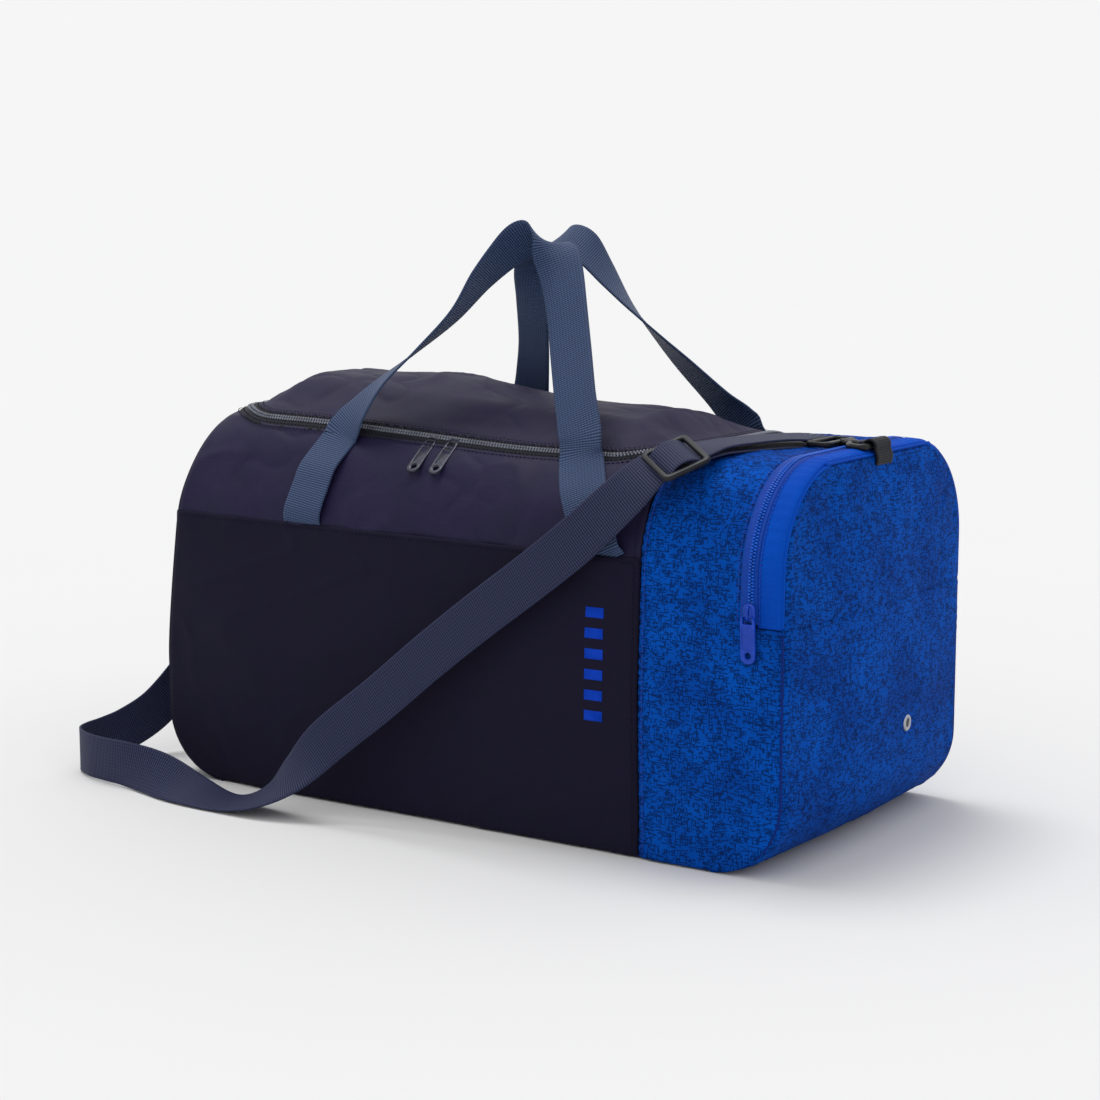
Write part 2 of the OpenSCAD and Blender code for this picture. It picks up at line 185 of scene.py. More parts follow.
def left_edge(z):
    z = np.asarray(z, float)
    low = LEFT_X + CORNER - np.sqrt(np.clip(CORNER ** 2 - (CORNER - z) ** 2, 0, None))
    high = LEFT_X + (LEAN_X - LEFT_X) * (np.clip(z - LEAN_Z, 0, None) / (TOP_Z - LEAN_Z)) ** 1.25
    return np.where(z < CORNER, low, high)


def right_edge(z):
    z = np.asarray(z, float)
    low = RIGHT_X - CORNER + np.sqrt(np.clip(CORNER ** 2 - (CORNER - z) ** 2, 0, None))
    return np.where(z < CORNER, low, RIGHT_X)


def lid_mask(x, s):
    """Signed distance inside the lid's zip line, in the cloth's own plane: positive inside."""
    cx, half_x = (ZIP_X0 + ZIP_X1) / 2, (ZIP_X1 - ZIP_X0) / 2
    top_s = HINGE_S + 60
    cs, half_s = (ZIP_S + top_s) / 2, (top_s - ZIP_S) / 2
    qx = np.abs(x - cx) - half_x + ZIP_CORNER
    qs = np.abs(s - cs) - half_s + ZIP_CORNER
    outside = np.hypot(np.maximum(qx, 0), np.maximum(qs, 0))
    return ZIP_CORNER - outside - np.minimum(np.maximum(qx, qs), 0)


def swell(x, s):
    """How far the filled bag stands proud of its sewn outline."""
    y, z = section(s)
    ends = smooth(0, 90, x - left_edge(z)) * smooth(0, 60, right_edge(z) - x)
    side = 3.5 * np.sin(np.pi * np.clip(z / FLAT_Z, 0, 1)) * ends
    side += 2.2 * noise(x / 170, s / 150, seed=3) * ends
    seam = np.exp(-((x - SEAM_X) / 26) ** 2)
    return side - 2.2 * seam * smooth(0, 40, s) * smooth(0, 40, GIRTH - s)


def top_rise(x, s):
    """The top rises towards the lid's left end and its back."""
    y, z = section(s)
    over = smooth(FLAT_Z + 30, TOP_Z, z)
    along = smooth(60, -200, x) * 12.5 * smooth(0, 60, x - LEAN_X + 25)
    return over * (along + 2.0)


def surface(x, s, h=0.0):
    """Point of the filled bag at x and s, h outside the cloth."""
    x, s = np.broadcast_arrays(np.asarray(x, float), np.asarray(s, float))
    y, z = section(s)
    m = np.minimum(s, GIRTH - s)
    a = np.clip((m - FLAT_Z) / SHOULDER, 0, math.pi / 2)
    ny = -np.cos(a) * np.where(s > GIRTH / 2, -1, 1)
    nz = np.sin(a)
    edge = np.minimum(right_edge(z) - x, x - left_edge(z))
    roll = 7.0
    inset = roll - np.sqrt(np.clip(roll ** 2 - np.clip(roll - edge, 0, roll) ** 2, 0, None))
    out = swell(x, s) + h - 0.75 * inset
    return np.stack([x, y + ny * out, z + nz * out + top_rise(x, s)], -1)


def lid_height(x, s):
    """Rise of the domed lid above the surround."""
    d = lid_mask(x, s) - 8
    cx = (x - ZIP_X0) / (ZIP_X1 - ZIP_X0)
    crown = smooth(0, 46, d)
    across = np.clip((s - ZIP_S) / (HINGE_S - ZIP_S), 0, 1)
    arch = np.sin(np.pi * np.clip(across, 0, 1) ** 0.95) ** 0.8
    lengthwise = 1 - 0.35 * smooth(0.55, 1.05, cx)
    return (LID_Z - TOP_Z - 7) * crown * arch * lengthwise + 0.8 * smooth(-2, 9, d)


def lid_surface(x, s, h=0.0):
    p = surface(x, s, h * 0)
    lift = lid_height(x, s)
    p = p.copy()
    p[..., 2] += lift
    return p + h * grid_normals(p) if p.ndim == 3 else p


# ---------------------------------------------------------------- meshes


def mesh_object(name, verts_mm, faces, uvs=None, smooth_shade=True):
    mesh = bpy.data.meshes.new(name)
    mesh.from_pydata((np.asarray(verts_mm, float) * MM).tolist(), [], [list(map(int, f)) for f in faces])
    if uvs is not None:
        layer = mesh.uv_layers.new(name="UVMap")
        index = np.zeros(len(mesh.loops), np.int32)
        mesh.loops.foreach_get("vertex_index", index)
        layer.data.foreach_set("uv", np.asarray(uvs, np.float32)[index].ravel())
    if smooth_shade:
        mesh.polygons.foreach_set("use_smooth", [True] * len(mesh.polygons))
    mesh.validate()
    obj = bpy.data.objects.new(name, mesh)
    bpy.context.scene.collection.objects.link(obj)
    return obj


def grid_normals(p):
    du = np.gradient(p, axis=1)
    dv = np.gradient(p, axis=0)
    n = np.cross(du, dv)
    return n / np.maximum(np.linalg.norm(n, axis=-1, keepdims=True), 1e-9)


def cloth_sheet(name, points, uv, thickness, inward):
    """A closed sheet: the outer grid, the same grid thickness further in, and the rim between them."""
    rows, cols = points.shape[:2]
    normal = grid_normals(points)
    back = points + normal * thickness * inward
    verts = np.concatenate([points.reshape(-1, 3), back.reshape(-1, 3)])
    index = np.arange(rows * cols).reshape(rows, cols)
    a, b, c, d = index[:-1, :-1], index[:-1, 1:], index[1:, 1:], index[1:, :-1]
    quads = np.stack([a, b, c, d], -1).reshape(-1, 4)
    other = quads[:, ::-1] + rows * cols
    rim = np.concatenate([index[0, :], index[1:, -1], index[-1, -2::-1], index[-2:0:-1, 0]])
    nxt = np.roll(rim, -1)
    side = np.stack([nxt, rim, rim + rows * cols, nxt + rows * cols], -1)
    faces = np.concatenate([quads, other, side])
    if inward > 0:
        faces = faces[:, ::-1]
    uvs = np.concatenate([uv.reshape(-1, 2), uv.reshape(-1, 2)])
    return mesh_object(name, verts, faces, uvs * MM)


def finish_piece(obj, body, material, replaces=()):
    obj.data.materials.append(material)
    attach(obj, body)
    if replaces:
        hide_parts(*replaces)
    return obj


def resample(points, count=None, step=None, closed=False):
    """Catmull-Rom through the points, then equal steps along it."""
    p = np.asarray(points, float)
    q = np.concatenate([[2 * p[0] - p[1]], p, [2 * p[-1] - p[-2]]])
    if closed:
        q = np.concatenate([[p[-1]], p, [p[0], p[1]]])
    t = np.linspace(0, 1, 24, endpoint=False)[:, None]
    out = []
    for k in range(len(q) - 3):
        a, b, c, d = q[k:k + 4]
        out.append(0.5 * ((2 * b) + (c - a) * t + (2 * a - 5 * b + 4 * c - d) * t ** 2
                          + (3 * b - a - 3 * c + d) * t ** 3))
    out.append(q[-2][None])
    line = np.concatenate(out)
    gaps = np.linalg.norm(np.diff(line[:, :3], axis=0), axis=1)
    along = np.concatenate([[0], np.cumsum(gaps)])
    n = count or max(2, int(round(along[-1] / step)) + 1)
    where = np.linspace(0, along[-1], n)
    return np.stack([np.interp(where, along, line[:, k]) for k in range(line.shape[1])], -1), where


def unit(v):
    return v / np.maximum(np.linalg.norm(v, axis=-1, keepdims=True), 1e-9)


def sweep(name, line, across, profile):
    """Sweeps a closed 2-D profile (across, out) along a line whose width runs along across."""
    tangent = unit(np.gradient(line, axis=0))
    side = unit(across - (across * tangent).sum(-1, keepdims=True) * tangent)
    out = np.cross(tangent, side)
    profile = np.asarray(profile, float)
    ring = (line[:, None] + side[:, None] * profile[None, :, 0:1] + out[:, None] * profile[None, :, 1:2])
    n, m = len(line), len(profile)
    index = np.arange(n * m).reshape(n, m)
    a, b = index[:-1], index[1:]
    quads = np.stack([a, np.roll(a, -1, 1), np.roll(b, -1, 1), b], -1).reshape(-1, 4)
    faces = quads.tolist() + [index[0, ::-1].tolist(), index[-1].tolist()]
    along = np.concatenate([[0], np.cumsum(np.linalg.norm(np.diff(line, axis=0), axis=1))])
    uv = np.stack([np.repeat(along, m), np.tile(profile[:, 0], n)], -1)
    return mesh_object(name, ring.reshape(-1, 3), faces, uv * MM)


def web_profile(width, thick):
    """Flat webbing with thicker, rounded selvedges."""
    half, t = width / 2, thick / 2
    xs = np.concatenate([np.linspace(-half + 0.5, half - 0.5, 13)])
    crown = t * (0.88 + 0.12 * smooth(half - 4, half - 2, np.abs(xs)))
    top = np.stack([xs, crown], -1)
    bottom = np.stack([xs[::-1], -crown[::-1]], -1)
    right = [[half, t * 0.4], [half, -t * 0.4]]
    left = [[-half, -t * 0.4], [-half, t * 0.4]]
    return np.concatenate([top, right, bottom, left])


def round_profile(r, n=10):
    a = np.linspace(0, 2 * math.pi, n, endpoint=False)
    return np.stack([r * np.cos(a), r * np.sin(a)], -1)


# ---------------------------------------------------------------- materials


def rgb(hex_colour):
    """Linear colour of an sRGB hex value."""
    values = [int(hex_colour[k:k + 2], 16) / 255 for k in (1, 3, 5)]
    return tuple(v / 12.92 if v <= 0.04045 else ((v + 0.055) / 1.055) ** 2.4 for v in values) + (1.0,)


class Nodes:
    """Short hand for building a node material."""

    def __init__(self, name, roughness=0.8, metallic=0.0, sheen=0.0, coat=0.0, specular=0.5):
        self.mat = bpy.data.materials.new(name)
        self.mat.use_nodes = True
        self.tree = self.mat.node_tree
        self.bsdf = self.tree.nodes["Principled BSDF"]
        self.bsdf.inputs["Roughness"].default_value = roughness
        self.bsdf.inputs["Metallic"].default_value = metallic
        self.bsdf.inputs["Specular IOR Level"].default_value = specular
        self.bsdf.inputs["Sheen Weight"].default_value = sheen
        self.bsdf.inputs["Sheen Roughness"].default_value = 0.4
        self.bsdf.inputs["Coat Weight"].default_value = coat

    def add(self, kind, **values):
        node = self.tree.nodes.new(kind)
        for key, value in values.items():
            if key in node.bl_rna.properties:
                setattr(node, key, value)
            else:
                node.inputs[key.replace("_", " ")].default_value = value
        return node

    def link(self, a, b):
        self.tree.links.new(a, b)

    def coords(self, use_uv=True):
        return self.add("ShaderNodeTexCoord").outputs["UV" if use_uv else "Object"]

    def math(self, operation, a, b=None, c=None):
        node = self.add("ShaderNodeMath", operation=operation)
        for k, value in enumerate((a, b, c)):
            if value is None:
                continue
            if isinstance(value, (int, float)):
                node.inputs[k].default_value = value
            else:
                self.link(value, node.inputs[k])
        return node.outputs[0]

    def scaled(self, coords, scale, rotate=0.0, offset=(0, 0, 0)):
        node = self.add("ShaderNodeMapping")
        node.inputs["Scale"].default_value = scale
        node.inputs["Rotation"].default_value = (0, 0, rotate)
        node.inputs["Location"].default_value = offset
        self.link(coords, node.inputs["Vector"])
        return node.outputs[0]

    def noise(self, coords, scale, detail=2.0, rough=0.5):
        node = self.add("ShaderNodeTexNoise")
        node.inputs["Scale"].default_value = scale
        node.inputs["Detail"].default_value = detail
        node.inputs["Roughness"].default_value = rough
        self.link(coords, node.inputs["Vector"])
        return node.outputs["Fac"]

    def wave(self, coords, scale, direction="X", distortion=0.0):
        node = self.add("ShaderNodeTexWave", wave_type="BANDS", bands_direction=direction)
        node.inputs["Scale"].default_value = scale
        node.inputs["Distortion"].default_value = distortion
        self.link(coords, node.inputs["Vector"])
        return node.outputs["Fac"]

    def ramp(self, fac, stops):
        node = self.add("ShaderNodeValToRGB")
        elements = node.color_ramp.elements
        while len(elements) < len(stops):
            elements.new(0.5)
        for element, (position, colour) in zip(elements, stops):
            element.position = position
            element.color = colour
        self.link(fac, node.inputs["Fac"])
        return node.outputs["Color"]

    def mix(self, fac, a, b, blend="MIX"):
        node = self.add("ShaderNodeMix", data_type="RGBA", blend_type=blend)
        for socket, value in ((node.inputs[0], fac), (node.inputs[6], a), (node.inputs[7], b)):
            if isinstance(value, (int, float, tuple)):
                socket.default_value = value
            else:
                self.link(value, socket)
        return node.outputs[2]

    def colour(self, value):
        self.link(value, self.bsdf.inputs["Base Color"])

    def roughness(self, value):
        self.link(value, self.bsdf.inputs["Roughness"])

    def bump(self, height, strength, distance, previous=None):
        node = self.add("ShaderNodeBump")
        node.inputs["Strength"].default_value = strength
        node.inputs["Distance"].default_value = distance
        self.link(height, node.inputs["Height"])
        if previous is not None:
            self.link(previous, node.inputs["Normal"])
        self.link(node.outputs[0], self.bsdf.inputs["Normal"])
        return node.outputs[0]


def weave_height(n, coords, pitch, twill=0.0):
    """Over-and-under threads at the given pitch in metres."""
    per = 0.3183 / pitch
    turned = n.scaled(coords, (1, 1, 1), twill)
    warp = n.wave(turned, per, "X", 0.6)
    weft = n.wave(turned, per, "Y", 0.6)
    return n.math("MAXIMUM", warp, weft), warp, weft


def canvas_material(name, dark, light, pitch=0.00085, sheen=0.25, contrast=0.5, specular=0.12, rough=0.62):
    n = Nodes(name, roughness=rough, sheen=sheen, specular=specular)
    uv = n.coords()
    height, warp, weft = weave_height(n, uv, pitch, 0.0)
    threads = n.math("MULTIPLY", warp, weft)
    slub = n.noise(n.scaled(uv, (60, 900, 1)), 1.0, 3.0)
    slub_b = n.noise(n.scaled(uv, (900, 60, 1), 0.0, (3, 5, 0)), 1.0, 3.0)
    mottle = n.noise(uv, 26.0, 4.0)
    speck = n.math("ADD", n.math("MULTIPLY", slub, 0.5), n.math("MULTIPLY", slub_b, 0.5))
    fac = n.math("ADD", n.math("MULTIPLY", threads, 0.55), n.math("MULTIPLY", speck, contrast))
    fac = n.math("ADD", fac, n.math("MULTIPLY", n.math("SUBTRACT", mottle, 0.5), 0.35))
    n.colour(n.ramp(fac, [(0.15, dark), (0.75, light)]))
    n.roughness(n.math("ADD", n.math("MULTIPLY", mottle, 0.16), rough))
    first = n.bump(height, 0.35, 0.00025)
    n.bump(speck, 0.25, 0.0003, first)
    return n.mat


def melange_material(name):
    """Blue cloth with short dark dashes along and across the weave."""
    n = Nodes(name, roughness=0.8, sheen=0.0, specular=0.05)
    uv = n.coords()
    snap = n.add("ShaderNodeVectorMath", operation="SNAP")
    n.link(uv, snap.inputs[0])
    snap.inputs[1].default_value = (0.0009, 0.0009, 1.0)
    cell = snap.outputs[0]
    along = n.noise(n.scaled(cell, (150, 900, 1)), 1.0, 1.0, 0.6)
    across = n.noise(n.scaled(cell, (900, 150, 1), 0.0, (11, 7, 0)), 1.0, 1.0, 0.6)
    patch = n.noise(uv, 95.0, 3.0, 0.65)
    lean = n.math("MULTIPLY", n.math("SUBTRACT", patch, 0.5), 0.38)
    dash_a = n.math("GREATER_THAN", n.math("ADD", along, lean), 0.545)
    dash_b = n.math("GREATER_THAN", n.math("ADD", across, lean), 0.575)
    dashes = n.math("MAXIMUM", dash_a, dash_b)
    soft = n.noise(n.scaled(uv, (500, 500, 1)), 1.0, 2.0)
    strength = n.math("MULTIPLY", dashes, n.math("ADD", n.math("MULTIPLY", soft, 0.9), 0.2))
    base = n.ramp(n.noise(uv, 18.0, 3.0), [(0.3, rgb("#00409c")), (0.7, rgb("#0054be"))])
    colour = n.mix(strength, base, rgb("#04102e"))
    height, warp, weft = weave_height(n, uv, 0.0008, 0.0)
    shade = n.math("ADD", n.math("MULTIPLY", n.math("MULTIPLY", warp, weft), 0.5), 0.75)
    shaded = n.mix(1.0, colour, (1, 1, 1, 1), "MULTIPLY")
    grey = n.add("ShaderNodeCombineColor")
    for k in range(3):
        n.link(shade, grey.inputs[k])
    n.link(grey.outputs[0], shaded.node.inputs[7])
    n.colour(shaded)
    first = n.bump(height, 0.3, 0.0002)
    n.bump(dashes, 0.12, 0.0002, first)
    return n.mat


def webbing_material(name, dark, light, pitch=0.0016, twin=0.5):
    n = Nodes(name, roughness=0.6, sheen=0.03, specular=0.18)
    uv = n.coords()
    rib = n.wave(uv, 0.3183 / pitch, "X", 0.25)
    cord = n.wave(uv, 0.3183 / (pitch * 1.4), "Y", 0.2)
    fine = n.noise(n.scaled(uv, (700, 1500, 1)), 1.0, 2.0)
    cords = n.math("MULTIPLY", n.math("MULTIPLY", cord, twin), 0.4)
    fac = n.math("ADD", n.math("MULTIPLY", rib, 0.6), cords)
    fac = n.math("ADD", fac, n.math("MULTIPLY", n.math("SUBTRACT", fine, 0.5), 0.5))
    n.colour(n.ramp(fac, [(0.1, dark), (0.8, light)]))
    first = n.bump(rib, 0.7, 0.0005)
    n.bump(fine, 0.3, 0.0002, first)
    return n.mat


def hard_material(name, colour, roughness, metallic=0.0, coat=0.0, grain=0.12, specular=0.3):
    n = Nodes(name, roughness=roughness, metallic=metallic, coat=coat, specular=specular)
    where = n.coords(False)
    blotch = n.noise(where, 90.0, 4.0)
    fine = n.noise(where, 1800.0, 2.0)
    lighter = tuple(min(1.0, c * 1.35 + 0.004) for c in colour[:3]) + (1.0,)
    n.colour(n.ramp(blotch, [(0.35, colour), (0.7, lighter)]))
    n.roughness(n.math("ADD", n.math("MULTIPLY", blotch, 0.18), roughness - 0.08))
    n.bump(fine, grain, 0.0001)
    return n.mat


MAT = {
    "canvas": canvas_material("canvas_navy", rgb("#0f0b26"), rgb("#262046"), sheen=0.0,
                              specular=0.16, rough=0.46),
    "pocket": canvas_material("pocket_navy", rgb("#0e0b20"), rgb("#1b1733"), 0.0007, 0.02, 0.25),
    "melange": melange_material("blue_melange"),
    "plain": canvas_material("blue_plain", rgb("#003aa0"), rgb("#005acc"), 0.0009, 0.0, 0.3, 0.06),
    "piping": canvas_material("blue_piping", rgb("#001e64"), rgb("#00318e"), 0.0009, 0.0, 0.3),
    "web_black": webbing_material("web_black", rgb("#06070c"), rgb("#1c1e28"), 0.0019),
    "lining": canvas_material("lining", rgb("#0c0c12"), rgb("#191a22"), 0.0008, 0.0, 0.3),
    "tape": webbing_material("zip_tape", rgb("#0d0e14"), rgb("#20222c"), 0.0009, 0.3),
    "tape_blue": webbing_material("zip_tape_blue", rgb("#003296"), rgb("#004cb8"), 0.0009, 0.3),
    "coil": hard_material("zip_coil", rgb("#6a6d79"), 0.3, 0.6, 0.2),
    "coil_blue": hard_material("zip_coil_blue", rgb("#0050b8"), 0.35, 0.0, 0.1),
    "slider": hard_material("slider_grey", rgb("#363843"), 0.3, 0.7, 0.3),
    "slider_blue": hard_material("slider_blue", rgb("#0036a0"), 0.3),
    "eyelet": hard_material("eyelet", rgb("#9a9ba2"), 0.35, 0.85),
    "web": webbing_material("web_navy", rgb("#19243a"), rgb("#485c84"), 0.0019),
    "strap": webbing_material("web_strap", rgb("#0c1022"), rgb("#353b60"), 0.0020),
    "plastic": hard_material("plastic_dark", rgb("#0e1016"), 0.38),
    "black": hard_material("plastic_black", rgb("#050609"), 0.35),
    "print": hard_material("print_blue", rgb("#0634a0"), 0.8, specular=0.05),
    "thread": hard_material("thread", rgb("#131026"), 0.8, specular=0.1),
    "thread_blue": hard_material("thread_blue", rgb("#062c90"), 0.6),
}

# ---------------------------------------------------------------- shoulder strap


def frame_lines(route):
    rows = np.array([list(p) + list(a) for p, a in route], float)
    line, along = resample(rows, step=2.5)
    return line[:, :3], line[:, 3:], along


STRAP_ROUTE = [
    ((245, 0, 313), (0, -1, 0)),
    ((236, -2, 314), (0.2, -1, 0)),
    ((222, -24, 315), (0.7, -0.7, 0)),
    ((211, -56, 315), (0.9, -0.4, 0)),
    ((202, -90, 314), (1, -0.3, 0)),
    ((197, -117, 311), (0.85, -0.42, -0.18)),
    ((186, -142, 303), (0.75, -0.42, -0.36)),
    ((166, -157, 280), (0.6, -0.2, -0.7)),
    ((130, -166, 245), (0.6, 0, -0.8)),
    ((90, -170, 213), (0.6, 0, -0.8)),
    ((45, -174, 179), (0.6, 0, -0.8)),
    ((0, -179, 143), (0.6, 0, -0.8)),
    ((-45, -186, 104), (0.6, 0, -0.8)),
    ((-88, -196, 68), (0.5, -0.05, -0.9)),
    ((-118, -206, 37), (0.45, -0.5, -0.7)),
    ((-148, -212, 15), (0.3, -0.9, -0.3)),
    ((-185, -213, 4.2), (0.1, -1, -0.1)),
    ((-225, -213, 9.4), (0, -0.9, -0.4)),
    ((-265, -212, 17.6), (0, -0.5, -0.85)),
    ((-300, -211, 20.5), (0, -0.1, -1)),
    ((-325, -209, 20.5), (0, 0, -1)),
    ((-350, -204, 20.5), (0, 0, -1)),
    ((-371, -192, 20.5), (0, 0, -1)),
    ((-379, -176, 20.5), (0, 0, -1)),
    ((-378, -156, 22), (0, 0, -1)),
    ((-372, -132, 27), (0.1, 0, -1)),
    ((-362, -104, 42), (0.1, 0.2, -1)),
    ((-350, -76, 72), (0.1, 0.4, -0.9)),
    ((-338, -48, 112), (0, 0.6, -0.7)),
    ((-327, -20, 158), (0, 0.8, -0.5)),
    ((-312, -4, 200), (0, 0.9, -0.2)),
    ((-304, 0, 229), (0, 1, 0)),
]
STRAP_T = 1.8


def make_strap():
    line, across, along = frame_lines(STRAP_ROUTE)
    strap = sweep("shoulder_strap", line, across, web_profile(WEB_W, STRAP_T))
    strap.data.materials.append(MAT["strap"])
    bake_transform(strap)
    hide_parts("shoulder_strap")


make_strap()

# ---------------------------------------------------------------- cloth panels


def wrinkles(x, s, seed, coarse=1.0, fine=1.0):
    big = 1.5 * noise(x / 95, s / 60, seed=seed)
    drift = noise(x / 60, s / 60, seed=seed + 9) * 14
    folds = crease((x + s * 0.55 + drift) / 62, (s - x * 0.3) / 34, seed + 1)
    folds_b = crease((x - s * 0.8 + drift) / 48, (s + x * 0.4) / 26, seed + 2)
    where = smooth(-0.25, 0.55, noise(x / 90, s / 70, seed=seed + 4))
    small = 0.16 * noise(x / 7, s / 6, seed=seed + 5) + 0.10 * noise(x / 3.2, s / 3.0, seed=seed + 6)
    return coarse * (big + 1.3 * folds * where - 0.9 * folds_b * (1 - where)) + fine * small


def pucker(distance, along, seed, reach=9.0, size=0.55):
    """Small gathers running square to a seam."""
    beat = np.sin(along * 2 * math.pi / 8.5 + 2.2 * noise(along / 17, 0, seed=seed))
    fade = np.exp(-np.clip(distance, 0, None) / reach)
    return size * beat * fade * (0.5 + 0.5 * noise(along / 25, 1.5, seed=seed))


def seam_dip(distance, depth=1.8, reach=2.6):
    return -depth * np.exp(-np.clip(distance, 0, None) / reach)


def panel(name, body, material, nodes, x, s, height, base=surface, thickness=1.3, shift=0.0):
    points = base(x, s, 0.0)
    normal = grid_normals(points)
    facing = np.sign(np.nansum(normal[..., 1:] * (points[..., 1:] - np.array([0, 140]))))
    points = points + normal * facing * (height + shift)[..., None]
    uv = np.stack([x, s], -1)
    obj = cloth_sheet(name, points, uv, thickness, -facing)
    return finish_piece(obj, body, material, nodes)


def columns(x0, x1, rows, step):
    """Grid of x between two edges given per row."""
    n = int(max(2, round(np.max(x1 - x0) / step))) + 1
    u = np.linspace(0, 1, n)[None, :]
    return x0[:, None] + u * (x1 - x0)[:, None]


STEP = 2.6


def pocket_height(x, s):
    """Height of the pocket panel's cloth over the smooth body."""
    top = POCKET_Z + 3 - s
    height = wrinkles(x, s, 11, 0.75, 0.35) * smooth(0, 22, x - left_edge(section(s)[1]))
    height = height + seam_dip(SEAM_X - x) + pucker(SEAM_X - x, s, 21, 8, 0.4)
    height = height + 1.0 * smooth(16, 2, top) + pucker(top, x, 22, 7, 0.22)
    return height + pucker(s, x, 23, 10, 0.5) + seam_dip(s, 1.2)


def make_pocket_panel():
    s = np.linspace(1.5, POCKET_Z + 3, int(POCKET_Z / STEP))
    x0 = left_edge(section(s)[1]) + 1.5
    x = columns(x0, np.full_like(s, SEAM_X - 0.4), s, STEP)
    ss = np.broadcast_to(s[:, None], x.shape)
    height = pocket_height(x, ss)
    return panel("front_pocket_panel", "bag", MAT["pocket"],
                 ["front_pocket_panel"], x, ss, height)


def zip_outer_s(x, grow):
    """S of the bag cloth's edge beside the main zip, at each x."""
    r = ZIP_CORNER + grow
    x0 = ZIP_X0 - grow + r
    x1 = ZIP_X1 + grow - r
    past = np.maximum(np.maximum(x0 - x, x - x1), 0)
    past = np.minimum(past, r - 0.5)
    return ZIP_S - grow + r - np.sqrt(r * r - past * past)


def make_front_upper():
    u = np.linspace(0, 1, 190)
    v = np.linspace(0, 1, 44)[:, None]
    s_low = POCKET_Z - 6
    x_mid = left_edge(POCKET_Z) + 1.5 + u * (SEAM_X - 0.4 - left_edge(POCKET_Z) - 1.5)
    s_high = np.minimum(zip_outer_s(x_mid, 8.0), ZIP_S + 60)
    s = s_low + v * (s_high[None, :] - s_low)
    x = left_edge(section(s)[1]) + 1.5 + u * (SEAM_X - 0.4 - left_edge(section(s)[1]) - 1.5)
    edge = s_high[None, :] - s
    height = wrinkles(x, s, 31, 1.3, 0.6) * smooth(0, 16, x - left_edge(section(s)[1]))
    height = height * smooth(0, 12, edge + 4) + seam_dip(SEAM_X - x) + pucker(SEAM_X - x, s, 24, 8, 0.5)
    height += 0.9 * smooth(4, 0.5, edge) + pucker(edge, x, 25, 9, 0.45)
    height -= 1.6 * smooth(10, 0, s - s_low)
    return panel("front_panel_upper", "bag", MAT["canvas"],
                 ["front_panel_upper"], x, s, height)


def make_front_blue(side):
    s = np.concatenate([np.linspace(1.5, FLAP_Z - 0.4, 74), np.linspace(FLAP_Z - 0.1, GIRTH / 2 + 1, 92)])
    x1 = np.where(section(s)[1] < FLAP_Z - 0.25, right_edge(section(s)[1]) - 1.5, END_ZIP_X - 7.6)
    x = columns(np.full_like(s, SEAM_X + 0.4), x1, s, STEP)
    ss = np.broadcast_to(s[:, None], x.shape)
    d = x - SEAM_X
    e = x1[:, None] - x
    coarse = 0.8 + 0.7 * smooth(150, 240, ss)
    height = wrinkles(x, ss, 41, coarse, 0.4) * smooth(0, 20, d) * smooth(0, 16, e)
    height += seam_dip(d) + pucker(d, ss, 42, 14, 0.9) + pucker(e, ss, 43, 9, 0.5)
    height += pucker(ss, x, 44, 10, 0.5) + seam_dip(ss, 1.2)
    name = "front_blue_panel" if side < 0 else "back_blue_panel"
    nodes = [name] + (["top_blue_panel"] if side < 0 else [])
    if side > 0:
        ss = GIRTH - ss
    return panel(name, "bag", MAT["melange"], nodes, x, ss, height)


def make_back_panel():
    s = np.linspace(1.5, GIRTH - HINGE_S - 0.4, 118)
    x0 = left_edge(section(s)[1]) + 1.5
    x = columns(x0, np.full_like(s, SEAM_X - 0.4), s, STEP)
    ss = np.broadcast_to(s[:, None], x.shape)
    height = wrinkles(x, GIRTH - ss, 51, 0.9, 0.5) * smooth(0, 22, x - x0[:, None])
    height += seam_dip(SEAM_X - x) + pucker(SEAM_X - x, ss, 52, 8, 0.5) + pucker(ss, x, 53, 10, 0.5)
    height = height * smooth(0, 14, GIRTH - HINGE_S - ss)
    return panel("back_panel", "bag", MAT["canvas"], ["back_panel"], x, GIRTH - ss, height)


def make_right_strip():
    """Navy strip between the main zip's right run and the blue seam."""
    s = np.linspace(ZIP_S - 8, HINGE_S, 90)
    r = ZIP_CORNER + 8
    past = np.clip(ZIP_S - 8 + r - s, 0, r - 0.5)
    x0 = ZIP_X1 + 8 - r + np.sqrt(r * r - past * past)
    x = columns(np.minimum(x0, SEAM_X - 1.2), np.full_like(s, SEAM_X - 0.4), s, 1.2)
    ss = np.broadcast_to(s[:, None], x.shape)
    height = 0.3 * noise(x / 9, ss / 9, seed=61)
    return panel("top_right_strip", "bag", MAT["canvas"], ["top_right_strip"], x, ss, height)


def lid_bounds(x):
    """Lowest s of the lid cloth at each x."""
    r = ZIP_CORNER - 8
    x0, x1 = ZIP_X0 + 8 + r, ZIP_X1 - 8 - r
    past = np.clip(np.maximum(x0 - x, x - x1), 0, r - 0.3)
    return ZIP_S + 8 + r - np.sqrt(r * r - past * past)


